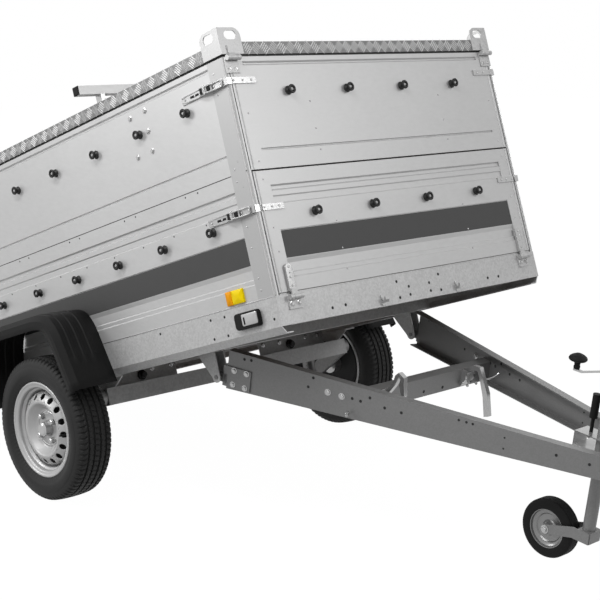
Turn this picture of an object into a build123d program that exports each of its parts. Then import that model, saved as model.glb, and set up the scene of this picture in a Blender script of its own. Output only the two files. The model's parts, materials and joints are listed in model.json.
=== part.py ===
from build123d import *

import os
from math import asin, atan2, cos, degrees, hypot, radians, sin

os.makedirs("parts", exist_ok=True)

# All sizes are in millimetres. Three frames are used. The bed frame has its origin on the wheel axis,
# with X forward along the load space, Y to the left and Z up from the axle. The bar frame has its
# origin on the tipping pivot, with X forward along the drawbar. The level frame stands on the ground.

# Load space
inner_length = 2650
inner_width = 1325
wall = 14
front_x = 1270.7
rail_top = 260
seam_z = 674
wall_top = 1050
end_flat = 86
gate_flat = 64
corner_round = 10
floor_thick = 12

# Clearances
fit_gap = 0.3
swing_gap = 5.5
sill_gap = 7

# Bed frame rails
rail_low = 161
lip_low = 136
rail_sheet = 4
rail_flange = 60
lip_inset = 18
lip_flange = 30
end_flange = 40
member_drop = 60
member_flange = 42
members_from_rear = (317.3, 767.3, 1177.3)
members_from_front = (260.7, 920.7)
pivot_member_ahead = 15
pivot_member_flange = 70
pivot_member_low = 140

# Lid
lid_low = 1057
lid_top = 1099
lid_sheet = 3
lid_over = 3
lid_rib = 30
lug_sheet = 4
lug_face = 96
lug_top = 1146
lug_round = 30
lug_hole_long = 52
lug_hole_high = 30
lug_hole_z = 1121
bar_back = 702.7
bar_square = 32
bar_sheet = 2.5
bar_over = 82.5
bar_cap = 6
bar_gap = 30
post_width = 18
post_inset = 16.5

# Wheels
tyre_radius = 273.5
tyre_width = 157
tyre_gap = 17.5
tread_share = 0.41
bead_share = 0.36
sidewall_rise = 46
rim_edge = 181
rim_half = 62
bead_radius = 165
drop_radius = 143
rim_sheet = 4
disc_offset = 30
disc_sheet = 5
bowl_radius = 66
bowl_depth = 28
crest_radius = 99
crest_flat = 9
disc_fall = 18
disc_flange = 16
hub_bore = 30
vent_count = 16
vent_ring = 122
vent_radius = 10.5
hub_radius = 62
hub_body = 40
hub_flange = 12
hub_length = 96
cap_radius = 27
cap_length = 34
stub_radius = 16

# Axle
beam_x = 160
beam_z = 65
beam_square = 65
beam_sheet = 5
beam_inset = 36.5
arm_thick = 22
arm_radius = 30
bracket_sheet = 6
bracket_length = 190
bracket_inset = 76.5
bracket_foot = 8
bracket_reach = 54

# Mudguards
guard_width = 185.2
guard_chamfer = 20
guard_ribs = (0.3, 0.5, 0.7)
guard_rib = 3
guard_rib_width = 16
guard_sheet = 4
guard_lip = 52
guard_top = 418
guard_profile = ((325, 115), (252, 368), (182, guard_top), (-182, guard_top), (-252, 368), (-325, 115))

# Tipping pivot, in the bed frame
pivot_back = 550.7
pivot_z = 49
pivot_inset = 159.5
pin_radius = 8
hanger_boss = 20
hanger_gap = 36
hanger_sheet = 4
hanger_back = 75

# Drawbar, in the bar frame
bar_rear_x = 27
bar_rear_inset = 164.5
bar_front_x = 1700
bar_front_y = 27
bar_top = 105.5
bar_rear_low = -37
bar_front_low = 47
bar_flange = 34
bar_web = 4
crossbar_x = 504.5
crossbar_low = -4
crossbar_high = 66
crossbar_flange = 45
plate_long = 99
plate_back = 14
plate_low = -27
plate_high = 49
plate_thick = 5
latch_y = 225
latch_width = 19
latch_bracket = 24
catch_y = 197
catch_z = 182

# Coupling, in the bar frame
ball_ahead = 180
ball_z = 107
ball_radius = 25
ball_play = 0.5
coupler_radius = 38
coupler_under = 14
coupler_overlap = 130
coupler_half = 30
coupler_sheet = 4
coupler_base = 6

# Jockey wheel, in the bar frame
jockey_back = 420
jockey_y = -34
jockey_tube = 24
jockey_leg = 21
leg_wall = 3
clamp_low = 81
clamp_high = 48
clamp_long = 130
clamp_half = 36
clamp_sheet = 4
clamp_plate = 5
tube_top = 322
tube_low = 8
leg_low = -228
leg_guide = 82
caster_trail = 142.5
caster_z = -241
caster_radius = 100
caster_width = 50
caster_rim_radius = 66
caster_hub = 18
caster_disc = 8
fork_gap = 5
fork_sheet = 4
fork_boss = 17
caster_pin = 7
slide_out = 200
fork_high = 38
crank_thick = 6
knob_radius = 24
knob_pin = 4
grip_back = 52
grip_radius = 13
grip_rod = 6

# Gate and lid hinges
gate_hinge_z = 247
gate_hinge_out = 15
lid_hinge_z = 1043
lid_hinge_out = 16
knuckle = 9
hinge_pin = 5
leaf_thick = 5
gate_leaf_low = 208.6
lid_leaf_low = 995
lid_leaf_top = 1085
strap_thick = 8
strap_top = 353
hinge_width = 57
hinge_inset = 75.5
lid_hinge_inset = 30.5

# Cover hooks, latches and lamps
hook_count = 9
hook_first = 232.1
hook_last = 259.5
hook_rows = (928, 518)
end_hook_rows = (933, 520)
end_hook_places = (-420.9, -140.3, 140.3, 420.9)
hook_base = 15
hook_neck = 8
hook_out = 22
latch_rows = (970, 548)
latch_long = 226
latch_high = 27
latch_start = 15.7
strike_reach = 116.5
strike_high = 20
strike_thick = 5
strike_gap = 10
marker_long = 122
marker_high = 56
marker_out = 20
marker_back = 147.7
marker_z = 208
reflector_long = 78
reflector_high = 44
reflector_out = 8
reflector_back = 193.7
reflector_z = 290
rear_lamp_long = 200
rear_lamp_high = 46
rear_lamp_out = 16
rear_lamp_inset = 196.5
rear_lamp_z = 178

# Worked out from the sizes above
half_width = inner_width / 2 + wall
guard_inner = half_width + fit_gap
guard_outer = guard_inner + guard_width
track = 2 * (half_width + tyre_gap) + tyre_width
beam_half = half_width - beam_inset
bracket_y = half_width - bracket_inset
hinge_y = half_width - hinge_inset
lid_hinge_y = half_width - lid_hinge_inset
post_y = half_width - post_inset
bar_half = half_width + bar_over
pivot_y = half_width - pivot_inset
bar_rear_y = half_width - bar_rear_inset
strike_end = half_width - strike_reach
rear_lamp_y = half_width - rear_lamp_inset
rear_x = front_x - inner_length - 2 * wall
bar_x = front_x - bar_back
pivot_x = front_x - pivot_back
pivot_member_x = pivot_x + pivot_member_ahead
ball_x = bar_front_x + ball_ahead
coupler_back = bar_front_x - coupler_overlap
jockey_x = bar_front_x - jockey_back
caster_x = jockey_x - caster_trail
leg_up = tube_low + slide_out + leg_guide
box_mid = (front_x + rear_x) / 2
hook_pitch = (front_x - rear_x - hook_first - hook_last) / (hook_count - 1)
gate_half = half_width - wall - swing_gap
bar_turn = atan2(bar_rear_y - bar_front_y, bar_front_x - bar_rear_x)
bar_length = hypot(bar_front_x - bar_rear_x, bar_rear_y - bar_front_y)

# The bed is tipped back until its rear lip lies on the ground beside the wheels
tip = degrees(atan2(lip_low, -rear_x) + asin(tyre_radius / hypot(rear_x, lip_low)))
pivot_level_x = pivot_x * cos(radians(tip)) - pivot_z * sin(radians(tip))
pivot_height = tyre_radius + pivot_x * sin(radians(tip)) + pivot_z * cos(radians(tip))

# The drawbar slopes down until its caster wheel stands on the ground
slope = degrees(
    asin((pivot_height - caster_radius) / hypot(caster_x, caster_z)) - atan2(-caster_z, caster_x)
)

# The origin is on the ground, midway between the coupling's nose and the lid's rear lugs
nose_x = pivot_level_x + ball_x * cos(radians(slope)) + ball_z * sin(radians(slope)) + coupler_radius
tail_out = rear_x - lid_over - lug_sheet
tail_x = tail_out * cos(radians(tip)) - lug_top * sin(radians(tip))
axle_x = -(nose_x + tail_x) / 2

axle = Location((axle_x, 0, tyre_radius))
bed = Location((axle_x, 0, tyre_radius), (0, -tip, 0))
bar = Location((axle_x + pivot_level_x, 0, pivot_height), (0, slope, 0))


def placed(frame, plane):
    """The plane, given in a frame, as it lies in the parked trailer."""
    return Plane(frame * plane.location)


def section(frame, x):
    """Plane across a frame at x: sketches are drawn in (y, z) and extruded forward."""
    return placed(frame, Plane.YZ.offset(x))


def side(frame, y):
    """Plane along a frame at y: sketches are drawn in (x, z) and extruded to the right."""
    return placed(frame, Plane.XZ.offset(-y))


def level(frame, z):
    """Plane over a frame at z: sketches are drawn in (x, y) and extruded upwards."""
    return placed(frame, Plane.XY.offset(z))


def save(piece, name):
    """Labels a finished piece and writes its file."""
    piece.part.label = name
    export_step(piece.part, f"parts/{name}.step")


# Side rails: folded channels with a sloping lower lip
with BuildPart() as side_rails:
    with BuildSketch(section(bed, rear_x + rail_sheet + fit_gap)):
        with BuildLine():
            Polyline(
                (-half_width + rail_flange, rail_top),
                (-half_width, rail_top),
                (-half_width, rail_low),
                (-half_width + lip_inset, lip_low),
                (-half_width + lip_inset + lip_flange, lip_low),
            )
            offset(amount=rail_sheet, side=Side.LEFT, kind=Kind.INTERSECTION)
        make_face()
    extrude(amount=front_x - rear_x - 2 * (rail_sheet + fit_gap))
    mirror(about=Plane.XZ)
save(side_rails, "side_rails")

# End rails: a full-width web with flanges that stop at the side rails' flanges
with BuildPart() as end_rails:
    for face_x, inward, low in ((front_x, -1, rail_low), (rear_x, 1, lip_low)):
        with BuildSketch(side(bed, 0)):
            with BuildLine():
                Polyline(
                    (face_x + inward * rail_flange, rail_top),
                    (face_x, rail_top),
                    (face_x, low),
                    (face_x + inward * end_flange, low),
                )
                turn = Side.LEFT if inward > 0 else Side.RIGHT
                offset(amount=rail_sheet, side=turn, kind=Kind.INTERSECTION)
            make_face()
        extrude(amount=half_width - rail_flange - fit_gap, both=True)
        with BuildSketch(side(bed, 0)):
            with Locations((face_x + inward * rail_sheet / 2, (rail_top + low) / 2)):
                Rectangle(rail_sheet, rail_top - low)
        extrude(amount=half_width, both=True)
save(end_rails, "end_rails")

# Cross members under the floor, hung below the rails' top flange
member_top = rail_top - rail_sheet
with BuildPart() as cross_members:
    member_places = [rear_x + distance for distance in members_from_rear]
    member_places += [front_x - distance for distance in members_from_front]
    for member_x in member_places:
        with BuildSketch(side(bed, 0)):
            with BuildLine():
                Polyline(
                    (member_x, member_top),
                    (member_x + member_flange, member_top),
                    (member_x + member_flange, member_top - member_drop),
                    (member_x, member_top - member_drop),
                )
                offset(amount=rail_sheet, side=Side.RIGHT, kind=Kind.INTERSECTION)
            make_face()
        extrude(amount=half_width - rail_sheet - fit_gap, both=True)
save(cross_members, "cross_members")

with BuildPart() as pivot_member:
    with BuildSketch(side(bed, 0)):
        with BuildLine():
            Polyline(
                (pivot_member_x - pivot_member_flange, member_top),
                (pivot_member_x, member_top),
                (pivot_member_x, pivot_member_low),
                (pivot_member_x - pivot_member_flange, pivot_member_low),
            )
            offset(amount=rail_sheet, side=Side.RIGHT, kind=Kind.INTERSECTION)
        make_face()
    extrude(amount=half_width - lip_inset - lip_flange - fit_gap, both=True)
save(pivot_member, "pivot_member")

# Floor board between the walls
with BuildPart() as floor:
    with BuildSketch(level(bed, rail_top)):
        with Locations((box_mid, 0)):
            Rectangle(
                inner_length - 2 * swing_gap,
                inner_width - 2 * fit_gap,
            )
    extrude(amount=floor_thick)
save(floor, "floor_board")

# Hangers: wedge-shaped channels that carry the bed on the pivot pins
with BuildPart() as hangers:
    for cheek in (-1, 1):
        cheek_y = -pivot_y + cheek * (hanger_gap + hanger_sheet) / 2
        with BuildSketch(side(bed, cheek_y)):
            with BuildLine():
                Polyline(
                    (pivot_x + hanger_boss, pivot_z),
                    (pivot_x + hanger_boss, pivot_member_low),
                    (pivot_x - hanger_back, pivot_member_low),
                    (pivot_x - hanger_boss, pivot_z),
                    close=True,
                )
            make_face()
            with Locations((pivot_x, pivot_z)):
                Circle(hanger_boss)
                Circle(pin_radius + fit_gap, mode=Mode.SUBTRACT)
        extrude(amount=hanger_sheet / 2, both=True)
    with BuildSketch(side(bed, -pivot_y)):
        with BuildLine():
            Polyline(
                (pivot_x - hanger_boss, pivot_z),
                (pivot_x - hanger_back, pivot_member_low),
                (pivot_x + hanger_boss, pivot_member_low),
            )
            offset(amount=hanger_sheet, side=Side.RIGHT, kind=Kind.INTERSECTION)
        make_face()
    extrude(amount=hanger_gap / 2 + hanger_sheet, both=True)
    mirror(about=Plane.XZ)
save(hangers, "hangers")

# Wall faces, as rows of height and depth below the outer surface
lower_rows = (
    (311, 0), (315, 3), (327, 3), (331, 6),
    (360, 6), (374, 2), (468, 2), (470, 0),
    (556, 0), (560, 4), (580, 4), (584, 1),
    (600, 1), (605, 6), (615, 6), (620, 0),
)
upper_rows = ((735, 0), (738, 4), (740, 4), (743, 0), (1020, 0), (1025, 6), (1029, 6), (1034, 0))


def wall_panel(corner, inward, half_length, flat, rounding, low, high, rows):
    """Adds a ribbed wall: its face follows the rows, and its two ends are flat profiles."""
    outer = Plane(origin=corner, x_dir=inward, z_dir=Vector(*inward).cross(Vector(0, 0, 1)))
    with BuildSketch(placed(bed, outer)) as ribbed:
        with BuildLine():
            Polyline(
                (0, low),
                *((depth, height) for height, depth in rows),
                (0, high),
                (wall, high),
                (wall, low),
                close=True,
            )
        make_face()
    extrude(ribbed.sketch, amount=half_length - flat, both=True)
    plan = Plane(origin=corner, x_dir=inward, z_dir=(0, 0, 1)).offset(low)
    with BuildSketch(placed(bed, plan)) as ends:
        for end in (-1, 1):
            with Locations((wall / 2, end * (half_length - flat / 2))):
                Rectangle(wall, flat)
        if rounding:
            outermost = ends.vertices().group_by(Axis.X)[0].sort_by(Axis.Y)
            fillet([outermost[0], outermost[-1]], rounding)
    extrude(ends.sketch, amount=high - low)


# Side walls, lower and upper, full length with rounded corner profiles
wall_tiers = (("lower", rail_top, seam_z, lower_rows), ("upper", seam_z, wall_top, upper_rows))
for hand_name, hand in (("right", -1), ("left", 1)):
    for tier, low, high, rows in wall_tiers:
        with BuildPart() as side_wall:
            corner = (box_mid, hand * half_width, 0)
            half_long = (front_x - rear_x) / 2
            wall_panel(corner, (0, -hand, 0), half_long, end_flat, corner_round, low, high, rows)
        save(side_wall, f"side_wall_{tier}_{hand_name}")

# Front and rear walls: the upper ones are fixed, the lower ones are gates
for end_name, face_x, inward in (("front", front_x, -1), ("rear", rear_x, 1)):
    with BuildPart() as upper_wall:
        wall_panel(
            (face_x, 0, 0), (inward, 0, 0), half_width - wall - fit_gap, gate_flat, 0,
            seam_z, wall_top, upper_rows,
        )
    save(upper_wall, f"{end_name}_wall_upper")
    with BuildPart() as gate:
        wall_panel(
            (face_x, 0, 0), (inward, 0, 0), gate_half, gate_flat, 0,
            rail_top + sill_gap, seam_z - swing_gap, lower_rows,
        )
    save(gate, f"{end_name}_gate")

# Lid: a folded tray with cross ribs
with BuildPart() as lid:
    with BuildSketch(level(bed, lid_low)):
        with Locations((box_mid, 0)):
            Rectangle(front_x - rear_x + 2 * lid_over, 2 * (half_width + lid_over))
    extrude(amount=lid_top - lid_low)
    under = lid.faces().sort_by(Axis((0, 0, 0), level(bed, 0).z_dir))[0]
    offset(amount=-lid_sheet, openings=under, kind=Kind.INTERSECTION)
    with BuildSketch(level(bed, lid_top - lid_sheet - lid_rib)):
        with Locations((bar_x, 0), (box_mid, 0), (2 * box_mid - bar_x, 0)):
            Rectangle(lid_rib, 2 * (half_width + lid_over - lid_sheet))
    extrude(amount=lid_rib)
save(lid, "lid")

# Corner lugs: folded plates with an oblong lashing hole above the lid
with BuildPart() as lugs:
    side_face_y = half_width + lid_over
    end_face_x = front_x + lid_over
    with BuildSketch(side(bed, -side_face_y)):
        with Locations((end_face_x + lug_sheet - lug_face / 2, (lid_low + lug_top) / 2)):
            Rectangle(lug_face, lug_top - lid_low)
        top_corner = vertices().group_by(Axis.Y)[-1].sort_by(Axis.X)[0]
        fillet(top_corner, lug_round)
        with Locations((end_face_x - lug_face / 2, lug_hole_z)):
            SlotOverall(lug_hole_long, lug_hole_high, mode=Mode.SUBTRACT)
    extrude(amount=lug_sheet)
    with BuildSketch(section(bed, end_face_x)):
        with Locations((-side_face_y - lug_sheet + lug_face / 2, (lid_low + lug_top) / 2)):
            Rectangle(lug_face, lug_top - lid_low)
        top_corner = vertices().group_by(Axis.Y)[-1].sort_by(Axis.X)[-1]
        fillet(top_corner, lug_round)
        with Locations((-side_face_y + lug_face / 2, lug_hole_z)):
            SlotOverall(lug_hole_long, lug_hole_high, mode=Mode.SUBTRACT)
    extrude(amount=lug_sheet)
    mirror(about=Plane.XZ)
    mirror(about=section(bed, box_mid))
save(lugs, "lid_lugs")

# Roof bars on short posts
with BuildPart() as roof_bars:
    for place_x in (bar_x, 2 * box_mid - bar_x):
        with BuildSketch(side(bed, 0)):
            with Locations((place_x, lid_top + bar_gap + bar_square / 2)):
                Rectangle(bar_square, bar_square)
                Rectangle(bar_square - 2 * bar_sheet, bar_square - 2 * bar_sheet, mode=Mode.SUBTRACT)
        extrude(amount=bar_half, both=True)
save(roof_bars, "roof_bars")

with BuildPart() as bar_caps:
    for place_x in (bar_x, 2 * box_mid - bar_x):
        with BuildSketch(side(bed, -bar_half)):
            with Locations((place_x, lid_top + bar_gap + bar_square / 2)):
                Rectangle(bar_square, bar_square)
        extrude(amount=bar_cap)
    chamfer(bar_caps.faces().group_by(Axis.Y)[0].edges(), bar_cap / 2)
    mirror(about=Plane.XZ)
save(bar_caps, "roof_bar_caps")

with BuildPart() as bar_posts:
    for place_x in (bar_x, 2 * box_mid - bar_x):
        with BuildSketch(level(bed, lid_top)):
            with Locations((place_x, -post_y), (place_x, post_y)):
                Rectangle(bar_square, post_width)
        extrude(amount=bar_gap)
save(bar_posts, "roof_bar_posts")

# Hinges: two outer knuckles with the pin on the bed, one middle knuckle on the moving panel
middle = hinge_width * 0.44
outer_knuckle = (hinge_width - middle) / 2 - 1


def hinge_fixed(pin_x, pin_z, hinge_mid, face_x, leaf_low):
    """Adds the fixed half: a leaf below the pin, two knuckles and the pin through them."""
    out = 1 if pin_x > face_x else -1
    with BuildSketch(side(bed, hinge_mid)) as leaf:
        with Locations((face_x + out * leaf_thick / 2, (pin_z + leaf_low) / 2)):
            Rectangle(leaf_thick, pin_z - leaf_low)
    extrude(leaf.sketch, amount=hinge_width / 2, both=True)
    for end in (-1, 1):
        knuckle_y = hinge_mid + end * (hinge_width - outer_knuckle) / 2
        with BuildSketch(side(bed, knuckle_y)) as barrel:
            with Locations((pin_x, pin_z)):
                Circle(knuckle)
            with Locations(((pin_x + face_x) / 2, pin_z)):
                Rectangle(abs(pin_x - face_x), knuckle)
        extrude(barrel.sketch, amount=outer_knuckle / 2, both=True)
    with BuildSketch(side(bed, hinge_mid)) as pin:
        with Locations((pin_x, pin_z)):
            Circle(hinge_pin)
    extrude(pin.sketch, amount=hinge_width / 2, both=True)


def hinge_moving(pin_x, pin_z, hinge_mid):
    """Adds the moving half's knuckle, bored for the pin."""
    with BuildSketch(side(bed, hinge_mid)) as barrel:
        with Locations((pin_x, pin_z)):
            Circle(knuckle)
            Circle(hinge_pin + fit_gap, mode=Mode.SUBTRACT)
    extrude(barrel.sketch, amount=middle / 2, both=True)


for end_name, face_x, out in (("front", front_x, 1), ("rear", rear_x, -1)):
    pin_x = face_x + out * gate_hinge_out
    with BuildPart() as fixed_half:
        for place in (-hinge_y, hinge_y):
            hinge_fixed(pin_x, gate_hinge_z, place, face_x, gate_leaf_low)
    save(fixed_half, f"{end_name}_gate_hinge_plates")
    with BuildPart() as moving_half:
        for place in (-hinge_y, hinge_y):
            hinge_moving(pin_x, gate_hinge_z, place)
            with BuildSketch(side(bed, place)):
                with Locations((face_x + out * strap_thick / 2, (rail_top + sill_gap + strap_top) / 2)):
                    Rectangle(strap_thick, strap_top - rail_top - sill_gap)
            extrude(amount=middle / 2, both=True)
            with BuildSketch(side(bed, place)):
                with BuildLine():
                    Polyline(
                        (pin_x - out * knuckle, gate_hinge_z + hinge_pin / 2),
                        (pin_x - out * knuckle, rail_top + sill_gap + strap_thick),
                        (pin_x - out * hinge_pin / 2, rail_top + sill_gap + strap_thick),
                        (pin_x - out * hinge_pin / 2, gate_hinge_z + 1.5 * hinge_pin),
                        close=True,
                    )
                make_face()
            extrude(amount=middle / 2, both=True)
    save(moving_half, f"{end_name}_gate_straps")

lid_pin_x = front_x + lid_hinge_out
with BuildPart() as lid_hinge_fixed:
    for place in (-lid_hinge_y, lid_hinge_y):
        hinge_fixed(lid_pin_x, lid_hinge_z, place, front_x, lid_leaf_low)
save(lid_hinge_fixed, "lid_hinge_plates")

with BuildPart() as lid_hinge_moving:
    for place in (-lid_hinge_y, lid_hinge_y):
        hinge_moving(lid_pin_x, lid_hinge_z, place)
        with BuildSketch(side(bed, place)):
            with BuildLine():
                leaf_x = front_x + lid_over + lug_sheet
                Polyline(
                    (leaf_x, lid_leaf_top),
                    (leaf_x, lid_low - lug_sheet),
                    (leaf_x + hinge_pin / 2, lid_hinge_z + knuckle - 1),
                    (lid_pin_x, lid_hinge_z + knuckle - 1),
                    (leaf_x + leaf_thick, lid_low + lug_sheet),
                    (leaf_x + leaf_thick, lid_leaf_top),
                    close=True,
                )
            make_face()
        extrude(amount=middle / 2, both=True)
save(lid_hinge_moving, "lid_hinge_leaves")

# Axle: torsion beam, brackets and trailing arms
with BuildPart() as axle_beam:
    with BuildSketch(side(bed, 0)):
        with Locations((beam_x, beam_z)):
            Rectangle(beam_square, beam_square)
            Rectangle(beam_square - 2 * beam_sheet, beam_square - 2 * beam_sheet, mode=Mode.SUBTRACT)
    extrude(amount=beam_half, both=True)
save(axle_beam, "axle_beam")

with BuildPart() as axle_brackets:
    bracket_top = lip_low - fit_gap
    with BuildSketch(side(bed, -bracket_y)):
        with BuildLine():
            Polyline(
                (beam_x - bracket_length / 2, bracket_top),
                (beam_x + bracket_length / 2, bracket_top),
                (beam_x + bracket_length / 2, bracket_top - bracket_sheet),
                (beam_x + beam_square / 2 + bracket_foot, beam_z + beam_square / 2 + fit_gap),
                (beam_x - beam_square / 2 - bracket_foot, beam_z + beam_square / 2 + fit_gap),
                (beam_x - bracket_length / 2, bracket_top - bracket_sheet),
                close=True,
            )
        make_face()
    extrude(amount=bracket_sheet)
    with BuildSketch(side(bed, -bracket_y)):
        with Locations((beam_x, bracket_top - bracket_sheet / 2)):
            Rectangle(bracket_length, bracket_sheet)
    extrude(amount=bracket_reach)
    mirror(about=Plane.XZ)
save(axle_brackets, "axle_brackets")

with BuildPart() as axle_arms:
    arm_start = beam_half + fit_gap
    with BuildSketch(side(bed, -arm_start)):
        with BuildLine():
            Line((beam_x, beam_z), (0, 0))
        make_hull(
            [
                *Sketch(Location((beam_x, beam_z)) * Circle(arm_radius, mode=Mode.PRIVATE)).edges(),
                *Sketch(Circle(arm_radius, mode=Mode.PRIVATE)).edges(),
            ]
        )
    extrude(amount=arm_thick)
    with BuildSketch(side(bed, -arm_start - arm_thick)):
        Circle(stub_radius)
    extrude(amount=track / 2 - arm_start - arm_thick + disc_offset)
    mirror(about=Plane.XZ)
save(axle_arms, "axle_arms")

# Mudguards: shells of flat facets with a chamfered shoulder, three ribs and an outer lip
(guard_foot_x, guard_foot_z), (guard_knee_x, guard_knee_z) = guard_profile[:2]
guard_run_out = (2 * guard_foot_x - guard_knee_x, 2 * guard_foot_z - guard_knee_z)
with BuildPart() as mudguards:
    with BuildSketch(side(bed, -guard_inner)):
        with BuildLine():
            Polyline(*guard_profile, close=True)
        make_face()
    extrude(amount=guard_width)
    outer_face = mudguards.faces().sort_by(Axis.Y)[0]
    chamfer(outer_face.edges().sort_by(SortBy.LENGTH)[:-1], guard_chamfer)
    inner_face = mudguards.faces().sort_by(Axis.Y)[-1]
    bottom_face = mudguards.faces().sort_by(Axis((0, 0, 0), level(bed, 0).z_dir))[0]
    offset(amount=-guard_sheet, openings=[inner_face, bottom_face], kind=Kind.INTERSECTION)
    with BuildSketch(side(bed, -guard_outer + 2 * guard_sheet)):
        with BuildLine():
            Polyline(
                guard_run_out,
                *guard_profile[1:-1],
                (-guard_run_out[0], guard_run_out[1]),
                close=True,
            )
        make_face()
        offset(amount=-guard_lip, kind=Kind.INTERSECTION)
    extrude(amount=3 * guard_sheet, mode=Mode.SUBTRACT)
    for share in guard_ribs:
        with BuildSketch(side(bed, -guard_inner - share * guard_width + guard_rib_width / 2)):
            with BuildLine():
                Polyline(*guard_profile)
                offset(amount=guard_rib, side=Side.LEFT, kind=Kind.INTERSECTION)
            make_face()
        extrude(amount=guard_rib_width)
    mirror(about=Plane.XZ)
save(mudguards, "mudguards")

# Wheels: tyre, dished rim with vent holes, and hub
spin = Axis((axle_x, 0, tyre_radius), (0, 1, 0))
for hand_name, hand in (("right", -1), ("left", 1)):
    wheel_y = hand * track / 2
    with BuildPart() as tyre:
        with BuildSketch(section(axle, 0)):
            with BuildLine():
                Polyline(
                    (wheel_y - tyre_width * bead_share, bead_radius + fit_gap),
                    (wheel_y - tyre_width / 2, rim_edge + sidewall_rise),
                    (wheel_y - tyre_width * tread_share, tyre_radius),
                    (wheel_y + tyre_width * tread_share, tyre_radius),
                    (wheel_y + tyre_width / 2, rim_edge + sidewall_rise),
                    (wheel_y + tyre_width * bead_share, bead_radius + fit_gap),
                    close=True,
                )
            make_face()
        revolve(axis=spin)
    save(tyre, f"tyre_{hand_name}")
    with BuildPart() as rim:
        with BuildSketch(section(axle, 0)):
            with BuildLine():
                Polyline(
                    (wheel_y - hand * rim_half, rim_edge - fit_gap),
                    (wheel_y - hand * (rim_half - rim_sheet), bead_radius),
                    (wheel_y - hand * disc_flange, drop_radius),
                    (wheel_y + hand * disc_flange / 2, drop_radius),
                    (wheel_y + hand * (rim_half - rim_sheet), bead_radius),
                    (wheel_y + hand * rim_half, rim_edge - fit_gap),
                )
                turn = Side.RIGHT if hand > 0 else Side.LEFT
                offset(amount=rim_sheet, side=turn, kind=Kind.INTERSECTION)
            make_face()
            with BuildLine():
                crest_y = wheel_y + hand * (disc_offset + bowl_depth)
                Polyline(
                    (wheel_y + hand * disc_offset, hub_bore),
                    (wheel_y + hand * disc_offset, bowl_radius),
                    (crest_y, crest_radius),
                    (crest_y, crest_radius + crest_flat),
                    (crest_y - hand * disc_fall, drop_radius - rim_sheet - disc_sheet / 2),
                    (wheel_y + hand * disc_flange / 2, drop_radius - rim_sheet + fit_gap),
                    (wheel_y - hand * disc_flange / 2, drop_radius - rim_sheet + fit_gap),
                    (wheel_y - hand * disc_flange / 2, drop_radius - rim_sheet - disc_sheet),
                    (wheel_y + hand * disc_flange / 2, drop_radius - rim_sheet - disc_sheet),
                    (crest_y - hand * (disc_fall + disc_sheet), drop_radius - rim_sheet - 1.5 * disc_sheet),
                    (crest_y - hand * disc_sheet, crest_radius + crest_flat - 2),
                    (crest_y - hand * disc_sheet, crest_radius + 2),
                    (wheel_y + hand * (disc_offset - disc_sheet), bowl_radius + 2),
                    (wheel_y + hand * (disc_offset - disc_sheet), hub_bore),
                    close=True,
                )
            make_face()
        revolve(axis=spin)
        with BuildSketch(side(axle, crest_y)):
            with PolarLocations(vent_ring, vent_count):
                Circle(vent_radius)
        extrude(amount=disc_fall + disc_sheet, both=True, mode=Mode.SUBTRACT)
    save(rim, f"rim_{hand_name}")
    with BuildPart() as hub:
        hub_face = wheel_y + hand * (disc_offset - disc_sheet - fit_gap)
        with BuildSketch(section(axle, 0)):
            with BuildLine():
                Polyline(
                    (hub_face - hand * hub_length, stub_radius + fit_gap),
                    (hub_face - hand * hub_length, hub_body),
                    (hub_face - hand * hub_flange, hub_body),
                    (hub_face - hand * hub_flange, hub_radius),
                    (hub_face, hub_radius),
                    (hub_face, cap_radius + 1),
                    (hub_face + hand * cap_length, cap_radius),
                    (hub_face + hand * (cap_length + 6), cap_radius - 8),
                    (hub_face + hand * (cap_length + 6), 0),
                    (hub_face + hand * (cap_length + 3), 0),
                    (hub_face + hand * (cap_length + 3), stub_radius + fit_gap),
                    close=True,
                )
            make_face()
        revolve(axis=spin)
    save(hub, f"hub_{hand_name}")

# Drawbar beams: tapered channels that meet at the coupling, open towards each other
web_plane = placed(
    bar,
    Plane(
        origin=(bar_rear_x, -bar_rear_y, 0),
        x_dir=(cos(bar_turn), sin(bar_turn), 0),
        z_dir=(sin(bar_turn), -cos(bar_turn), 0),
    ),
)
with BuildPart() as beams:
    with BuildSketch(web_plane):
        with BuildLine():
            Polyline(
                (0, bar_rear_low),
                (0, bar_top),
                (bar_length, bar_top),
                (bar_length, bar_front_low),
                close=True,
            )
        make_face()
    extrude(amount=-bar_flange)
    with BuildSketch(web_plane.offset(-bar_web)):
        with BuildLine():
            Polyline(
                (-5, bar_rear_low + bar_web),
                (-5, bar_top - bar_web),
                (bar_length + 5, bar_top - bar_web),
                (bar_length + 5, bar_front_low + bar_web),
                close=True,
            )
        make_face()
    extrude(amount=-bar_flange, mode=Mode.SUBTRACT)
    split(bisect_by=Plane.XZ.offset(1), keep=Keep.TOP)
    mirror(about=Plane.XZ)
save(beams, "drawbar_beams")


def beam_half_at(x):
    """Half-spacing of the beams' inner web faces at x."""
    outer = bar_rear_y + (bar_front_y - bar_rear_y) * (x - bar_rear_x) / (bar_front_x - bar_rear_x)
    return outer - bar_web / cos(bar_turn) - fit_gap


def between_beams(rear, front):
    """Corners of a flat piece that fills the width between the beams."""
    return (
        (rear, -beam_half_at(rear)),
        (front, -beam_half_at(front)),
        (front, beam_half_at(front)),
        (rear, beam_half_at(rear)),
    )


# Crossbar: a channel between the beams, open to the rear
with BuildPart() as crossbar:
    crossbar_rear = crossbar_x - crossbar_flange
    with BuildSketch(level(bar, crossbar_low)):
        with BuildLine():
            Polyline(*between_beams(crossbar_rear, crossbar_x), close=True)
        make_face()
    extrude(amount=crossbar_high - crossbar_low)
    with BuildSketch(level(bar, crossbar_low + bar_web)):
        with Locations((crossbar_x - bar_web - crossbar_flange / 2, 0)):
            Rectangle(crossbar_flange, 2 * bar_rear_y)
    extrude(amount=crossbar_high - crossbar_low - 2 * bar_web, mode=Mode.SUBTRACT)
save(crossbar, "drawbar_crossbar")

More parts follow.
